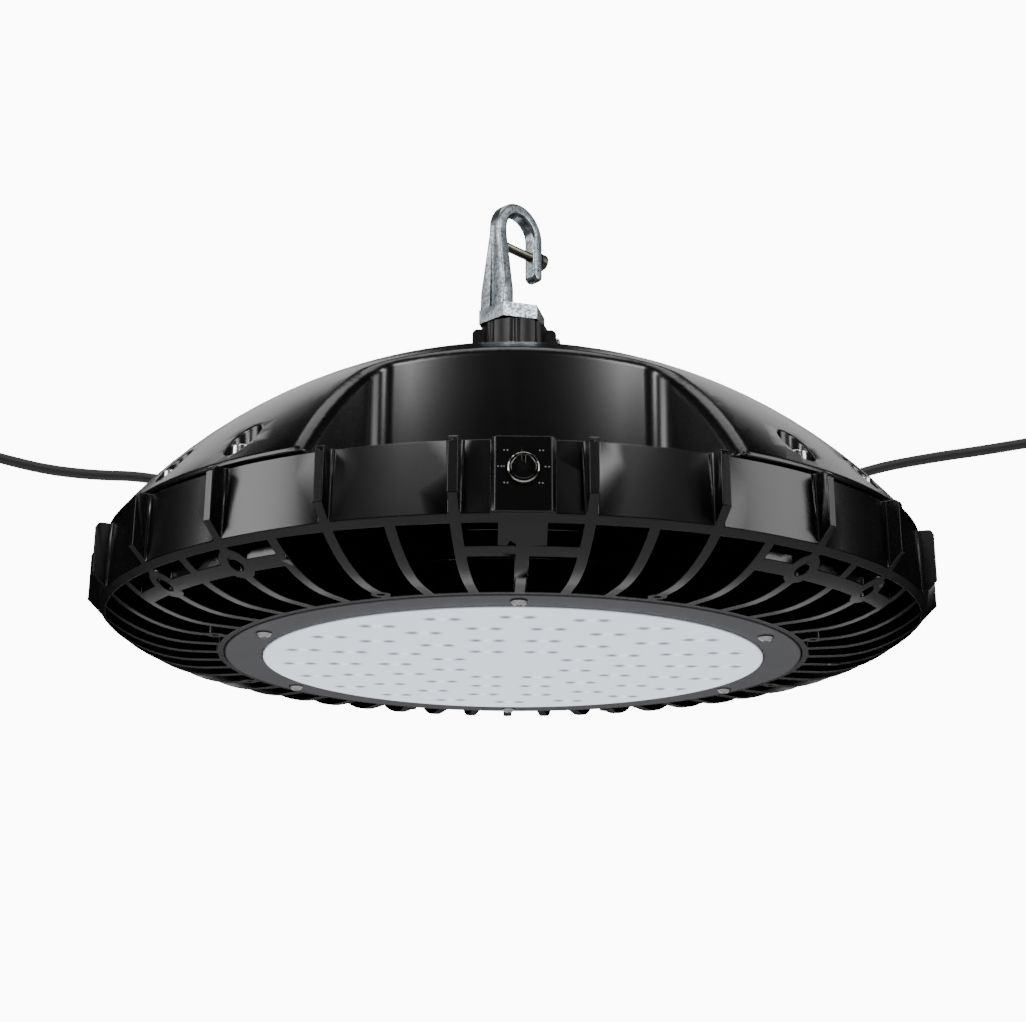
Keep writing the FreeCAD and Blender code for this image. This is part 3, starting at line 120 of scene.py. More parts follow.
@dataclass(frozen=True)
class Finish:
    """A real surface: its colour and gloss, and the fine marks that its making leaves.

    mottle_mm and grain_mm are the sizes of the slow colour change and of the fine relief. A tooth finer than
    about half a millimetre doesn't show at the photograph's distance, so it is drawn that coarse.
    """

    name: str
    colour: str
    shade: str
    roughness: float
    metallic: float = 0.0
    spread: float = 0.05
    mottle_mm: float = 25.0
    grain_mm: float = 1.0
    relief_mm: float = 0.01
    ior: float = 1.5
    coat: float = 0.0
    coat_roughness: float = 0.12
    sheen: float = 0.0

    def pattern(self, tree: bpy.types.NodeTree, place: bpy.types.NodeSocket) -> bpy.types.NodeSocket:
        """Gives the mottle, from 0 to 1, that mixes the two colours.

        Args:
            tree: The material's node tree.
            place: The object's own coordinates.

        Returns:
            The output that carries the mottle.
        """
        noise = add_node(
            tree, "TexNoise", {"Scale": per_mm(self.mottle_mm), "Detail": 4.0, "Roughness": 0.6},
            {"Vector": place},
        )
        return noise.outputs["Fac"]

    def material(self) -> bpy.types.Material:
        """Builds the material once and gives it back each time.

        Returns:
            The finished node material.
        """
        known = bpy.data.materials.get(self.name)
        if known:
            return known
        material = bpy.data.materials.new(self.name)
        material.use_nodes = True
        tree = material.node_tree
        tree.nodes.clear()
        place = add_node(tree, "TexCoord").outputs["Object"]
        mottle = self.pattern(tree, place)
        colour = add_node(
            tree, "MixRGB", {"Color1": linear(self.colour), "Color2": linear(self.shade)}, {"Fac": mottle},
        )
        gloss = add_node(
            tree, "MapRange",
            {
                "From Min": MOTTLE_LOW, "From Max": MOTTLE_HIGH,
                "To Min": self.roughness - self.spread, "To Max": self.roughness + self.spread,
            },
            {"Value": mottle},
        )
        grain = add_node(tree, "TexNoise", {"Scale": per_mm(self.grain_mm), "Detail": 2.0}, {"Vector": place})
        relief = add_node(
            tree, "Bump", {"Strength": RELIEF_STRENGTH, "Distance": self.relief_mm * MM},
            {"Height": grain.outputs["Fac"]},
        )
        shader = add_node(
            tree, "BsdfPrincipled",
            {
                "Metallic": self.metallic, "IOR": self.ior, "Sheen Weight": self.sheen,
                "Coat Weight": self.coat, "Coat Roughness": self.coat_roughness,
            },
            {
                "Base Color": colour.outputs["Color"], "Roughness": gloss.outputs["Result"],
                "Normal": relief.outputs["Normal"],
            },
        )
        add_node(tree, "OutputMaterial", links={"Surface": shader.outputs["BSDF"]})
        return material


@dataclass(frozen=True)
class Galvanised(Finish):
    """Hot-dip zinc on cast iron: grey crystals a few millimetres across, dark in the pits of the casting.

    pit_mm is the size of the pits, pit_range the part of their noise that counts, and pit_gain the shade that
    it adds. cloud_size is how many crystals wide the slower cloud is, and cloud_share its share of the mottle.
    """

    pit_mm: float = 1.6
    pit_range: tuple[float, float] = (0.42, 0.62)
    pit_gain: tuple[float, float] = (-0.25, 0.35)
    cloud_size: float = 2.5
    cloud_share: float = 0.6

    def pattern(self, tree: bpy.types.NodeTree, place: bpy.types.NodeSocket) -> bpy.types.NodeSocket:
        """Gives the zinc's crystals, broken up by a slower cloud and by the casting's dark pits.

        Args:
            tree: The material's node tree.
            place: The object's own coordinates.

        Returns:
            The output that carries the mottle.
        """
        cells = add_node(
            tree, "TexVoronoi", {"Scale": per_mm(self.mottle_mm), "Randomness": 1.0}, {"Vector": place},
        )
        cloud = add_node(
            tree, "TexNoise", {"Scale": per_mm(self.mottle_mm * self.cloud_size), "Detail": 5.0},
            {"Vector": place},
        )
        pits = add_node(
            tree, "TexNoise", {"Scale": per_mm(self.pit_mm), "Detail": 3.0, "Roughness": 0.7},
            {"Vector": place},
        )
        grey = add_node(tree, "RGBToBW", links={"Color": cells.outputs["Color"]})
        both = add_node(
            tree, "Mix", {"Factor": self.cloud_share}, {"A": grey.outputs["Val"], "B": cloud.outputs["Fac"]},
        )
        dark = add_node(
            tree, "MapRange",
            {
                "From Min": self.pit_range[0], "From Max": self.pit_range[1],
                "To Min": self.pit_gain[0], "To Max": self.pit_gain[1],
            },
            {"Value": pits.outputs["Fac"]},
        )
        whole = add_node(
            tree, "Math", links={0: both.outputs["Result"], 1: dark.outputs["Result"]},
            operation="ADD", use_clamp=True,
        )
        return whole.outputs["Value"]


@dataclass(frozen=True)
class FrostedPanel(Finish):
    """Frosted polycarbonate with the emitters behind it drawn on as soft grey spots in pairs: partly their own
    tone seen through it and partly painted shade.

    rows holds, for each circle of pairs, its radius in mm, the number of pairs and the first angle in
    degrees. pair_mm is the distance of a pair's spots and spot_mm the radius of one. Between them a painted
    highlight makes the panel lighter, and everywhere it is darker by veil.
    """

    rows: tuple[tuple[float, int, float], ...] = ()
    pair_mm: float = 10.5
    spot_mm: float = 4.7
    # the strength of the painted highlight between a pair's spots
    painted_highlight: float = 0.3
    veil: float = 0.2

    def spots(
        self, tree: bpy.types.NodeTree, place: bpy.types.NodeSocket, shift: float,
    ) -> bpy.types.NodeSocket:
        """Gives soft spots on the circles.

        Args:
            tree: The material's node tree.
            place: The object's own coordinates.
            shift: How far all spots are moved along X, in mm.

        Returns:
            The output that is 1 in the middle of each spot and 0 around it.
        """
        moved = add_node(tree, "VectorMath", {1: (-shift * MM, 0.0, 0.0)}, {0: place}, operation="ADD")
        axes = add_node(tree, "SeparateXYZ", links={"Vector": moved.outputs["Vector"]})
        x, y = axes.outputs["X"], axes.outputs["Y"]
        flat = add_node(tree, "CombineXYZ", links={"X": x, "Y": y})
        away = add_node(tree, "VectorMath", links={0: flat.outputs["Vector"]}, operation="LENGTH")
        down = add_node(tree, "Math", {1: -1.0}, {0: y}, operation="MULTIPLY")
        angle = add_node(tree, "Math", links={0: x, 1: down.outputs["Value"]}, operation="ARCTAN2")
        total = None
        for row in self.rows:
            spot = self.ring_spots(tree, angle.outputs["Value"], away.outputs["Value"], row)
            total = spot if total is None else add_node(
                tree, "Math", links={0: total, 1: spot}, operation="MAXIMUM").outputs["Value"]
        return total

    def ring_spots(
        self,
        tree: bpy.types.NodeTree,
        angle: bpy.types.NodeSocket,
        reach: bpy.types.NodeSocket,
        row: tuple[float, int, float],
    ) -> bpy.types.NodeSocket:
        """Gives the soft spots of one circle.

        Args:
            tree: The material's node tree.
            angle: The angle around the axis.
            reach: The distance from the axis.
            row: The circle's radius in mm, its number of spots and its first angle in degrees.

        Returns:
            The output that is 1 in the middle of each spot and 0 around it.
        """
        radius, pairs, first = row
        step = 2 * math.pi / pairs
        turned = add_node(tree, "Math", {1: math.radians(first) - step / 2}, {0: angle}, operation="SUBTRACT")
        within = add_node(tree, "Math", {1: step}, {0: turned.outputs["Value"]}, operation="FLOORED_MODULO")
        across = add_node(tree, "Math", {1: step / 2}, {0: within.outputs["Value"]}, operation="SUBTRACT")
        along = add_node(tree, "Math", {1: radius * MM}, {0: across.outputs["Value"]}, operation="MULTIPLY")
        out = add_node(tree, "Math", {1: radius * MM}, {0: reach}, operation="SUBTRACT")
        offset = add_node(tree, "CombineXYZ", links={"X": along.outputs["Value"], "Y": out.outputs["Value"]})
        away = add_node(tree, "VectorMath", links={0: offset.outputs["Vector"]}, operation="LENGTH")
        spot = add_node(
            tree, "MapRange", {"From Min": 0.0, "From Max": self.spot_mm * MM, "To Min": 1.0, "To Max": 0.0},
            {"Value": away.outputs["Value"]}, interpolation_type="SMOOTHSTEP",
        )
        return spot.outputs["Result"]

    def pattern(self, tree: bpy.types.NodeTree, place: bpy.types.NodeSocket) -> bpy.types.NodeSocket:
        """Gives the dark spots of both emitters of each pair, less the painted highlight between them.

        Args:
            tree: The material's node tree.
            place: The object's own coordinates.

        Returns:
            The output that carries the mottle.
        """
        half = self.pair_mm / 2
        left, right, middle = (self.spots(tree, place, shift) for shift in (-half, half, 0.0))
        dark = add_node(tree, "Math", links={0: left, 1: right}, operation="MAXIMUM")
        # A painted highlight lightens the middle of each pair, and the veil mixes in the darker colour
        # everywhere.
        veil_less_highlight = add_node(tree, "Math", {1: -self.painted_highlight, 2: self.veil}, {0: middle}, operation="MULTIPLY_ADD")
        whole = add_node(
            tree, "Math", links={0: dark.outputs["Value"], 1: veil_less_highlight.outputs["Value"]},
            operation="ADD", use_clamp=True,
        )
        return whole.outputs["Value"]


# Powder coat baked on cast aluminium: a deep satin black whose faint orange peel, a millimetre or so across,
# softens the lamps' gleams.
BLACK_COAT = Finish(
    "powder_coated_aluminium", "040405", "060607", 0.25, spread=0.01, mottle_mm=40.0, grain_mm=1.4,
    relief_mm=0.003,
)
# Paint sprayed on the bezel: dark grey and duller than the powder coat, so it takes an even light from below.
GREY_COAT = Finish(
    "grey_painted_bezel", "1b1b1f", "212126", 0.4, spread=0.04, mottle_mm=30.0, grain_mm=0.8, relief_mm=0.01,
)
# Polycarbonate moulded in a frosted die: milky and even, with the emitters behind it as soft grey spots that
# are partly their own tone and partly painted shade, and a painted highlight between the two spots of each
# pair.
LENS = FrostedPanel(
    "frosted_polycarbonate", "e2e9f6", "66747c", 0.4, spread=0.03, grain_mm=0.7, relief_mm=0.01, ior=1.58,
    rows=((34.0, 8, 22.5), (58.0, 14, 12.857), (83.0, 18, 10.0), (105.0, 20, 0.0)),
)
# Cast iron dipped in molten zinc: a mottle of light and dark crystals over a bumpy casting, with dark pits.
ZINC = Galvanised(
    "galvanised_iron", "bcc5ca", "535b61", 0.34, metallic=1.0, spread=0.05, mottle_mm=4.0, grain_mm=1.6,
    relief_mm=0.16,
)
# Steel bolt, zinc-plated and passivated: a warm dull grey with broad, weak gleams.
DULL_STEEL = Finish(
    "zinc_plated_bolt", "8b897c", "66655b", 0.33, metallic=1.0, spread=0.03, mottle_mm=2.0, grain_mm=0.5,
    relief_mm=0.02,
)
# Stainless steel, turned and tumbled: bright, with clear gleams.
STAINLESS = Finish(
    "stainless_steel", "cfcfcb", "b9b9b6", 0.22, metallic=1.0, spread=0.03, mottle_mm=4.0, grain_mm=0.5,
    relief_mm=0.004,
)
# Rolled steel sheet, zinc-plated: an even, cool grey between bright and dull.
ZINC_SHEET = Finish(
    "zinc_plated_sheet", "b9bcc0", "a4a8ad", 0.34, metallic=1.0, mottle_mm=12.0, relief_mm=0.006,
)
# Steel sprayed satin black: duller than the castings beside it, with a weak gleam.
SATIN_STEEL = Finish(
    "painted_steel", "060607", "09090a", 0.36, spread=0.03, mottle_mm=10.0, grain_mm=1.0, relief_mm=0.01,
    ior=1.36,
)
# Extruded rubber sheath: matt black with a fine tooth and a faint pale bloom toward its edges.
RUBBER = Finish(
    "black_rubber_sheath", "161617", "1f1f20", 0.52, mottle_mm=6.0, grain_mm=0.5, relief_mm=0.02, sheen=0.1,
)
# Moulded silicone: matt mid grey, without a clear gleam.
SILICONE = Finish("grey_silicone", "8d9298", "7c8187", 0.6, mottle_mm=8.0, relief_mm=0.02)
# Nylon moulded in a lightly blasted die: near black and half dull.
NYLON = Finish("moulded_nylon", "161618", "1e1e20", 0.42, mottle_mm=9.0, grain_mm=0.7, relief_mm=0.02)
# Acetal moulded in a polished die: glossy black, so the dial shows small clear gleams.
ACETAL = Finish(
    "moulded_acetal", "0a0a0b", "101012", 0.18, mottle_mm=5.0, grain_mm=0.8, relief_mm=0.003, coat=0.4,
)
# Aluminium turned bright and anodised clear: a thin ring of sharp, slightly warm gleams.
ANODISED = Finish(
    "anodised_aluminium", "cdcabd", "b3b0a2", 0.16, metallic=1.0, spread=0.03, mottle_mm=3.0, relief_mm=0.003,
)
# Aluminium extruded and left bare: pale, with soft gleams.
BARE_ALUMINIUM = Finish(
    "extruded_aluminium", "c6c8ca", "b2b5b8", 0.3, metallic=1.0, mottle_mm=6.0, relief_mm=0.008,
)
# Solder mask printed and baked on the LED board: smooth, even white.
SOLDER_MASK = Finish("white_solder_mask", "e6e8e4", "dcdeda", 0.35, mottle_mm=15.0, relief_mm=0.006)
# Phosphor in silicone, poured over each emitter: opaque yellow with a fine grain.
PHOSPHOR = Finish("yellow_phosphor", "e2c65e", "d2b248", 0.4, mottle_mm=1.2, grain_mm=0.3, relief_mm=0.01)
# Pressed glass-epoxy laminate under green solder mask: half glossy, with a slight unevenness from the weave.
LAMINATE = Finish("green_laminate", "1f5a33", "184a29", 0.35, mottle_mm=6.0, grain_mm=0.4, relief_mm=0.01)
# Pressed ferrite wound with tape: matt brown, uneven in tone.
FERRITE = Finish("ferrite_and_tape", "6a4a20", "4c3516", 0.5, mottle_mm=5.0, relief_mm=0.03)
# Aluminium cans in a shrunk plastic sleeve: dark blue, smooth and half glossy.
SLEEVE = Finish("sleeved_can", "27304a", "1f273d", 0.3, mottle_mm=7.0, relief_mm=0.005)
# Nylon moulded without filler: cream, softly dull.
CREAM_NYLON = Finish("cream_nylon", "d8d3c2", "cbc5b2", 0.45, mottle_mm=6.0, relief_mm=0.015)
# Brass turned on a lathe: warm yellow with clear gleams.
BRASS = Finish("turned_brass", "c7a052", "a98442", 0.28, metallic=1.0, mottle_mm=3.0, relief_mm=0.005)
# Ink pressed on the raised marks by a pad: light grey and flat.
MARK_PAINT = Finish(
    "pad_printed_grey_ink", "8f9296", "7f8287", 0.5, mottle_mm=1.5, grain_mm=0.3, relief_mm=0.004,
)
# Rolled floor paint: pale and matt, with a slow change of tone, so it throws an even light up.
PALE_FLOOR = Finish("pale_floor", "e9e9ea", "e5e5e6", 0.8, mottle_mm=400.0, grain_mm=8.0, relief_mm=0.01)


def dress(piece: bpy.types.Object, finish: Finish) -> None:
    """Gives a piece one finish all over."""
    piece.data.materials.clear()
    piece.data.materials.append(finish.material())


def dress_nodes(names: Iterable[str], finish: Finish) -> None:
    """Gives CAD nodes that stay in view a finish through their object's own slots.

    Args:
        names: The nodes.
        finish: What they are made of.
    """
    for name in names:
        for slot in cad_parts[name].material_slots:
            slot.link = "OBJECT"
            slot.material = finish.material()


def new_piece(name: str, mesh: bpy.types.Mesh, finish: Finish, body: str = HOUSING) -> bpy.types.Object:
    """Puts a mesh in the scene as a dressed piece that rides on a body.

    Args:
        name: The piece's name.
        mesh: Its mesh, in metres.
        finish: What it is made of.
        body: The CAD body that carries it.

    Returns:
        The new object.
    """
    piece = bpy.data.objects.new(name, mesh)
    bpy.context.scene.collection.objects.link(piece)
    dress(piece, finish)
    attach(piece, body)
    return piece


def apply_modifiers(piece: bpy.types.Object) -> None:
    """Replaces a piece's mesh by what its modifiers make of it.

    Args:
        piece: The piece, whose modifiers are gone afterwards.
    """
    graph = bpy.context.evaluated_depsgraph_get()
    made = bpy.data.meshes.new_from_object(piece.evaluated_get(graph), depsgraph=graph)
    piece.modifiers.clear()
    piece.data = made


@dataclass(frozen=True)
class Edge:
    """How a made piece's edges are rounded.

    width is the rounding in mm, steps the number of its faces, and angle the least turn in degrees that counts
    as an edge. clamp keeps the rounding within the narrowest face, for a piece with very fine faces.
    """

    width: float = 0.5
    steps: int = 2
    angle: float = 28.0
    clamp: bool = False


def softened(node: str, finish: Finish, edge: Edge, body: str = HOUSING) -> bpy.types.Object:
    """Makes a piece from a CAD node's shape with rounded edges that catch the light, in the node's stead.

    Args:
        node: The CAD node.
        finish: What it is made of.
        edge: How its edges are rounded.
        body: The CAD body that carries it.

    Returns:
        The new object.
    """
    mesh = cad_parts[node].data.copy()
    shape = bmesh.new()
    shape.from_mesh(mesh)
    bmesh.ops.remove_doubles(shape, verts=shape.verts, dist=SAME_POINT * MM)
    bmesh.ops.dissolve_limit(
        shape, angle_limit=math.radians(FLAT_ANGLE), verts=shape.verts, edges=shape.edges,
    )
    shape.to_mesh(mesh)
    shape.free()
    piece = new_piece(f"{node}_made", mesh, finish, body)
    mesh.shade_smooth()
    mesh.set_sharp_from_angle(angle=math.radians(edge.angle))
    rounding = piece.modifiers.new("rounding", "BEVEL")
    rounding.width = edge.width * MM
    rounding.segments = edge.steps
    rounding.limit_method = "ANGLE"
    rounding.angle_limit = math.radians(edge.angle)
    rounding.harden_normals = True
    rounding.use_clamp_overlap = edge.clamp
    rounding.loop_slide = False
    apply_modifiers(piece)
    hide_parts(node)
    LOG.info("%s: %d faces", piece.name, len(piece.data.polygons))
    return piece


@dataclass
class Castings:
    """The two black castings: the finned heatsink and the domed cover, with their screws and seal."""

    heatsink_edge: Edge = Edge(0.4)
    cover_edge: Edge = Edge(0.8, 3)
    screw_edge: Edge = Edge(0.35)

    def build(self) -> None:
        """Makes both castings and their screws."""
        softened("heatsink", BLACK_COAT, self.heatsink_edge)
        softened("dome_cover", BLACK_COAT, self.cover_edge)
        softened("cover_screws", STAINLESS, self.screw_edge)
        dress_nodes(["cover_gasket"], SILICONE)


@dataclass
class LightPanel:
    """The underside: bezel, its screws, the frosted lens and what lies behind it."""

    bezel_edge: Edge = Edge(0.35)
    screw_edge: Edge = Edge(0.25)
    lens_edge: Edge = Edge(0.4)

    def build(self) -> None:
        """Makes the bezel, screws and lens, and dresses the board behind them."""
        softened("bezel_ring", GREY_COAT, self.bezel_edge)
        softened("bezel_screws", STAINLESS, self.screw_edge)
        softened("lens", LENS, self.lens_edge)
        dress_nodes(["board_screws"], STAINLESS)
        dress_nodes(["lens_gasket", "heat_pad"], SILICONE)
        dress_nodes(["led_board"], SOLDER_MASK)
        dress_nodes(["led_emitters"], PHOSPHOR)


@dataclass
class Selector:
    """The dial on the pod, its bright ring, the raised marks around it, the lid and the switch.

    Sizes are in mm. Each place in dot_pairs is the middle of two dots, from the dial's centre. dot_profile
    holds the shares of a dot's radius and rise at each of its rings, and arrow_levels where the arrow's back
    and front lie before the pod's face.
    """

    dial_edge: Edge = Edge(0.25)
    ring_edge: Edge = Edge(0.2)
    dot_pairs: tuple[tuple[float, float], ...] = (
        (-6.8, 7.0), (6.8, 7.0), (-9.0, 0.5), (9.0, 0.5), (-6.6, -6.0), (6.6, -6.0),
    )
    dot_spacing: float = 1.3
    dot_radius: float = 0.36
    dot_rise: float = 0.25
    dot_sides: int = 12
    dot_profile: tuple[tuple[float, float], ...] = ((1.0, -0.05), (1.0, 0.1), (0.8, 0.7))
    arrow_size: float = 0.7
    arrow_place: tuple[float, float] = (-7.3, 0.5)
    arrow_levels: tuple[float, float] = (-0.02, 0.15)
    mark_crease: float = 40.0

    def add_dome(self, shape: bmesh.types.BMesh, x: float, z: float, face: float) -> None:
        """Adds one low round dot on the pod's face.

        Args:
            shape: The mesh that takes it.
            x: Its place across, in mm.
            z: Its place up, in mm in the object's frame.
            face: How far the pod's face stands in front of the axis, in mm.
        """
        rings = []
        for reach, rise in self.dot_profile:
            rings.append([
                shape.verts.new((
                    (x + self.dot_radius * reach * math.cos(turn)) * MM,
                    -(face + self.dot_rise * rise) * MM,
                    (z + self.dot_radius * reach * math.sin(turn)) * MM,
                ))
                for turn in (math.tau * step / self.dot_sides for step in range(self.dot_sides))
            ])
        for low, high in zip(rings, rings[1:]):
            for step in range(self.dot_sides):
                after = (step + 1) % self.dot_sides
                shape.faces.new((low[step], low[after], high[after], high[step]))
        shape.faces.new(rings[-1])
        shape.faces.new(rings[0][::-1])

    def add_arrow(self, shape: bmesh.types.BMesh, x: float, z: float, face: float) -> None:
        """Adds the low arrowhead that points at the dial, as a three-sided plate.

        Args:
            shape: The mesh that takes it.
            x: Its place across, in mm.
            z: Its place up, in mm in the object's frame.
            face: How far the pod's face stands in front of the axis, in mm.
        """
        half = self.arrow_size / 2
        outline = ((x - half, z + half), (x - half, z - half), (x + half, z))
        back, front = (
            [shape.verts.new((u * MM, -(face + rise) * MM, v * MM)) for u, v in outline]
            for rise in self.arrow_levels
        )
        shape.faces.new(front)
        shape.faces.new(back[::-1])
        for step in range(len(outline)):
            after = (step + 1) % len(outline)
            shape.faces.new((back[step], back[after], front[after], front[step]))

    def make_marks(self) -> None:
        """Makes the raised marks of the dial's six settings on the pod's face."""
        low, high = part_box("selector_ring")
        face = -high[1] / MM
        middle = (low[2] + high[2]) / 2 / MM
        shape = bmesh.new()
        for x, z in self.dot_pairs:
            for side in (-1, 1):
                self.add_dome(shape, x + side * self.dot_spacing / 2, middle + z, face)
        self.add_arrow(shape, self.arrow_place[0], middle + self.arrow_place[1], face)
        bmesh.ops.recalc_face_normals(shape, faces=shape.faces)
        mesh = bpy.data.meshes.new("dial_marks")
        shape.to_mesh(mesh)
        shape.free()
        mesh.shade_smooth()
        mesh.set_sharp_from_angle(angle=math.radians(self.mark_crease))
        new_piece("dial_marks", mesh, MARK_PAINT)

    def build(self) -> None:
        """Makes the dial, ring and marks and dresses the rest."""
        softened("selector_dial", ACETAL, self.dial_edge, DIAL_BODY)
        softened("selector_ring", ANODISED, self.ring_edge)
        self.make_marks()
        dress_nodes(["pod_lid", "selector_switch"], NYLON)


@dataclass
class Hanger:
    """The hook with its keeper, the collar that holds it, and the collar's nut and washer."""

    hook_edge: Edge = Edge(0.9, 3, clamp=True)
    keeper_edge: Edge = Edge(0.3, clamp=True)
    collar_edge: Edge = Edge(0.5, clamp=True)
    lock_edge: Edge = Edge(0.2, clamp=True)

    def build(self) -> None:
        """Makes the hook, keeper, collar and lock screw."""
        softened("hook", ZINC, self.hook_edge)
        softened("hook_keeper_screw", DULL_STEEL, self.keeper_edge)
        softened("hook_collar", SATIN_STEEL, self.collar_edge)
        softened("hook_lock_screw", STAINLESS, self.lock_edge)
        dress_nodes(["collar_nut", "collar_washer"], ZINC_SHEET)


@dataclass
class Leads:
    """The two leads with their glands, boots and connectors, and the vent beside them.

    Each route holds the lead's control points in mm, with heights from the rim's lower edge. round_steps and
    path_steps set how finely the sheath is drawn around and along its route.
    """

    diameter: float = 6.7
    round_steps: int = 6
    path_steps: int = 12
    connector_edge: Edge = Edge(0.5)
    boot_edge: Edge = Edge(0.4)
    gland_edge: Edge = Edge(0.4)
    routes: dict[Side, list[tuple[float, float, float]]] = field(default_factory=lambda: {
        Side.LEFT: [
            (-32, 134, 80), (-32, 184, 80), (-57, 225, 96), (-98, 237, 111), (-139, 226, 123),
            (-181, 208, 131.5),
            (-226, 190, 139), (-264, 180, 136.3), (-300, 172, 139), (-334, 163.3, 147),
        ],
        Side.RIGHT: [
            (32, 134, 80), (32, 184, 80), (57, 225, 97), (98, 237, 112), (140, 227, 123), (182, 209, 133),
            (227, 187, 146.5), (266, 177, 152), (305, 170, 156), (344, 165, 162),
        ],
    })

    def lay(self, side: Side, points: Sequence[tuple[float, float, float]]) -> bpy.types.Object:
        """Lays one lead along its route.

        Args:
            side: The side that the lead runs to.
            points: The route's control points in mm.

        Returns:
            The lead's curve.
        """
        curve = bpy.data.curves.new(f"{side.value}_lead_sheath", "CURVE")
        curve.dimensions = "3D"
        curve.bevel_depth = self.diameter / 2 * MM
        curve.bevel_resolution = self.round_steps
        curve.resolution_u = self.path_steps
        curve.use_fill_caps = True
        line = curve.splines.new("NURBS")
        line.points.add(len(points) - 1)
        for point, (x, y, z) in zip(line.points, points):
            point.co = (x * MM, y * MM, (z - HOOK_SEAT) * MM, 1.0)
        line.order_u = 3
        line.use_endpoint_u = True
        lead = bpy.data.objects.new(curve.name, curve)
        bpy.context.scene.collection.objects.link(lead)
        lead.data.materials.append(RUBBER.material())
        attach(lead, HOUSING)
        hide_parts(f"{side.value}_lead")
        return lead

    def length(self, lead: bpy.types.Object) -> float:
        """Measures a lead along its centreline.

        Args:
            lead: The lead's curve.

        Returns:
            Its length in metres.
        """
        bare = lead.data.copy()
        bare.bevel_depth = 0.0
        probe = bpy.data.objects.new("probe", bare)
        mesh = bpy.data.meshes.new_from_object(probe)
        points = [vertex.co.copy() for vertex in mesh.vertices]
        bpy.data.objects.remove(probe)
        return sum((b - a).length for a, b in zip(points, points[1:]))

    def build(self) -> None:
        """Makes the leads, boots, connectors, glands and vent."""
        for side, points in self.routes.items():
            lead = self.lay(side, points)
            connector = softened(f"{side.value}_connector", NYLON, self.connector_edge)
            boot = softened(f"{side.value}_strain_relief", RUBBER, self.boot_edge)
            self.length(lead)
        for name in ("gland_bodies", "gland_cap_nuts", "breather_vent"):
            softened(name, NYLON, self.gland_edge)
        dress_nodes(["gland_seals"], SILICONE)
        dress_nodes(["gland_locknuts"], BRASS)


@dataclass
class Driver:
    """The power supply and terminals inside the sealed chamber."""

    finishes: dict[str, Finish] = field(default_factory=lambda: {
        "driver_tray": ZINC_SHEET, "driver_lid": ZINC_SHEET, "driver_board": LAMINATE,
        "driver_transformer": FERRITE, "driver_capacitors": SLEEVE, "driver_heat_sink": BARE_ALUMINIUM,
        "driver_screws": STAINLESS, "terminal_block": CREAM_NYLON, "terminal_screws": BRASS,
    })

    def build(self) -> None:
        """Dresses each piece."""
        for name, finish in self.finishes.items():
            dress_nodes([name], finish)


@dataclass(frozen=True)
class SoftBox:
    """A studio lamp: where it stands and aims, in metres, its size and its power.

    A lamp that doesn't gleam lights the surfaces but isn't seen in them, as one behind a mesh is.
    """

    name: str
    place: tuple[float, float, float]
    aim: tuple[float, float, float]
    width: float
    height: float
    watts: float
    gleams: bool = True

    def build(self) -> None:
        """Puts the lamp in the scene, out of the camera's sight."""
        lamp = bpy.data.lights.new(self.name, "AREA")
        lamp.shape = "RECTANGLE"
        lamp.size = self.width
        lamp.size_y = self.height
        lamp.energy = self.watts
        stand = bpy.data.objects.new(self.name, lamp)
        stand.visible_camera = False
        stand.visible_glossy = self.gleams
        stand.location = self.place
        sight = Vector(self.aim) - Vector(self.place)
        stand.rotation_euler = sight.to_track_quat("-Z", "Y").to_euler()
        bpy.context.scene.collection.objects.link(stand)


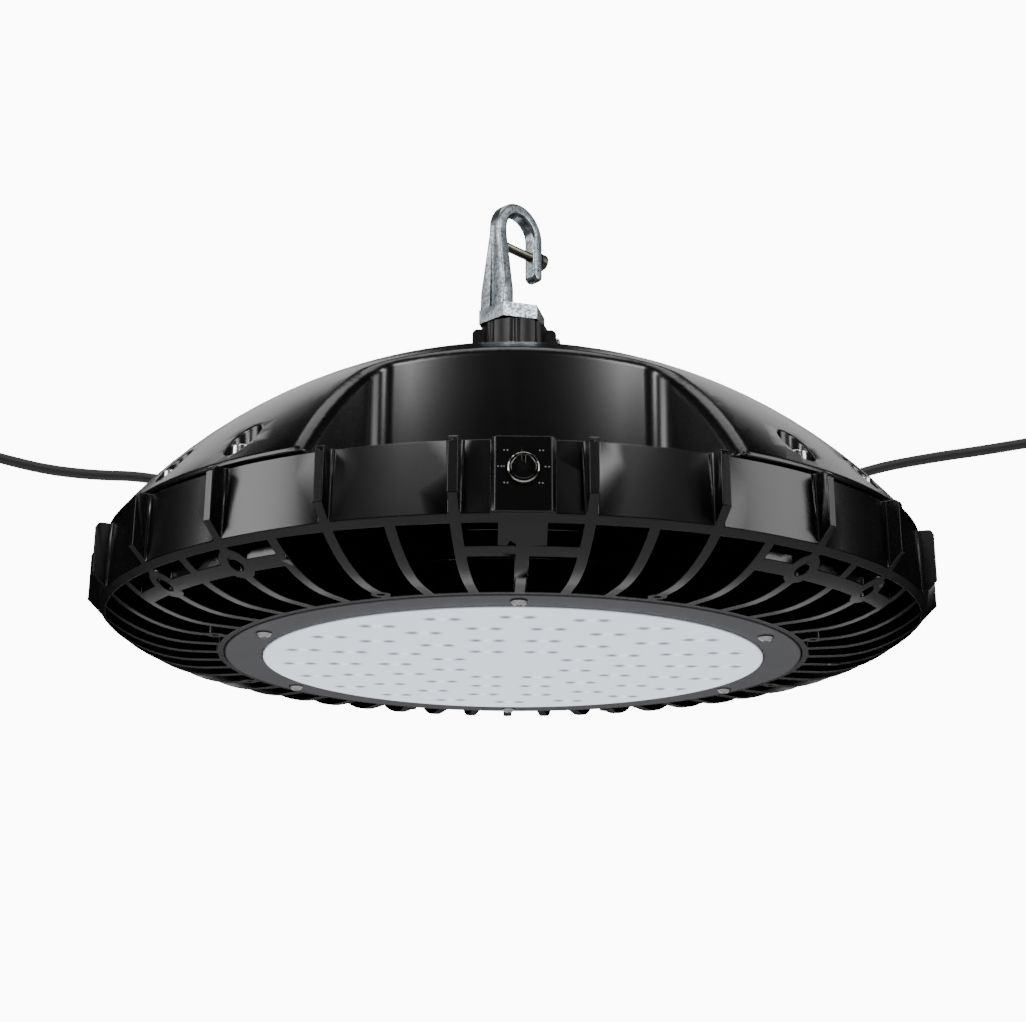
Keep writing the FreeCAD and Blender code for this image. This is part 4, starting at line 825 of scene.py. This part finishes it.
@dataclass
class Studio:
    """The camera at the photograph's angle, the soft lamps, the pale surroundings and the floor.

    Places are in metres, the camera's turn in degrees and its lens and sensor in mm.
    """

    camera_place: tuple[float, float, float] = (-0.01445, -0.77813, -0.39941)
    camera_turn: tuple[float, float, float] = (106.7695, -0.2207, -1.1133)
    camera_lens: float = 56.08
    camera_sensor: float = 36.0
    backdrop: float = 11.0
    room_light: float = 0.006
    floor_height: float = -1.3
    floor_half: float = 4.0
    lamps: tuple[SoftBox, ...] = (
        SoftBox("top_softbox", (0.0, 0.0, 1.5), (0.0, 0.0, -0.1), 1.2, 1.0, 8.0),
        SoftBox("left_softbox", (-1.6, -0.6, 0.4), (0.0, 0.0, -0.15), 0.8, 1.1, 17.0),
        SoftBox("right_softbox", (1.6, -0.6, 0.4), (0.0, 0.0, -0.15), 0.8, 1.1, 12.0),
        SoftBox("left_strip", (-0.88, -1.65, 1.04), (0.0, -0.1, -0.1), 0.4, 0.6, 16.0),
        SoftBox("right_strip", (0.88, -1.65, 1.04), (0.0, -0.1, -0.1), 0.4, 0.6, 14.0),
        SoftBox("left_back_softbox", (-0.95, 1.6, 1.25), (0.0, 0.0, -0.1), 1.4, 0.8, 4.2),
        SoftBox("right_back_softbox", (0.95, 1.6, 1.25), (0.0, 0.0, -0.1), 1.4, 0.8, 4.0),
        SoftBox("low_softbox", (0.0, 0.2, -1.25), (0.0, 0.0, -0.2), 0.6, 0.5, 22.0, gleams=False),
        SoftBox("low_back_softbox", (0.0, 1.35, -1.15), (0.0, 0.0, -0.2), 2.2, 0.9, 5.5),
    )

    def build(self) -> None:
        """Sets the camera, lamps, surroundings and floor."""
        view = bpy.data.cameras.new("photo_view")
        view.sensor_fit = "HORIZONTAL"
        view.sensor_width = self.camera_sensor
        view.lens = self.camera_lens
        camera = bpy.data.objects.new("photo_view", view)
        camera.location = self.camera_place
        camera.rotation_euler = Euler([math.radians(a) for a in self.camera_turn], "XYZ")
        bpy.context.scene.collection.objects.link(camera)
        bpy.context.scene.camera = camera
        for lamp in self.lamps:
            lamp.build()
        self.surround()
        self.lay_floor()

    def surround(self) -> None:
        """Makes the surroundings: near white behind the object, and dim where they only light it."""
        world = bpy.data.worlds.new("studio_surround")
        bpy.context.scene.world = world
        world.use_nodes = True
        tree = world.node_tree
        tree.nodes.clear()
        path = add_node(tree, "LightPath")
        strength = add_node(
            tree, "MapRange", {"To Min": self.room_light, "To Max": self.backdrop},
            {"Value": path.outputs["Is Camera Ray"]},
        )
        light = add_node(
            tree, "Background", {"Color": linear("ffffff")}, {"Strength": strength.outputs["Result"]},
        )
        add_node(tree, "OutputWorld", links={"Surface": light.outputs["Background"]})

    def lay_floor(self) -> None:
        """Lays the pale floor below the hanging light."""
        mesh = bpy.data.meshes.new("floor")
        half, height = self.floor_half, self.floor_height
        sides = ((-half, -half), (half, -half), (half, half), (-half, half))
        corners = [(x, y, height) for x, y in sides]
        mesh.from_pydata(corners, [], [(0, 1, 2, 3)])
        floor = bpy.data.objects.new("floor", mesh)
        bpy.context.scene.collection.objects.link(floor)
        dress(floor, PALE_FLOOR)


def main() -> None:
    """Builds every sub-assembly and the studio."""
    logging.basicConfig(level=logging.INFO)
    for assembly in (Castings(), LightPanel(), Selector(), Hanger(), Leads(), Driver(), Studio()):
        assembly.build()
        LOG.info("%s built", type(assembly).__name__)


if __name__ == "__main__":
    main()
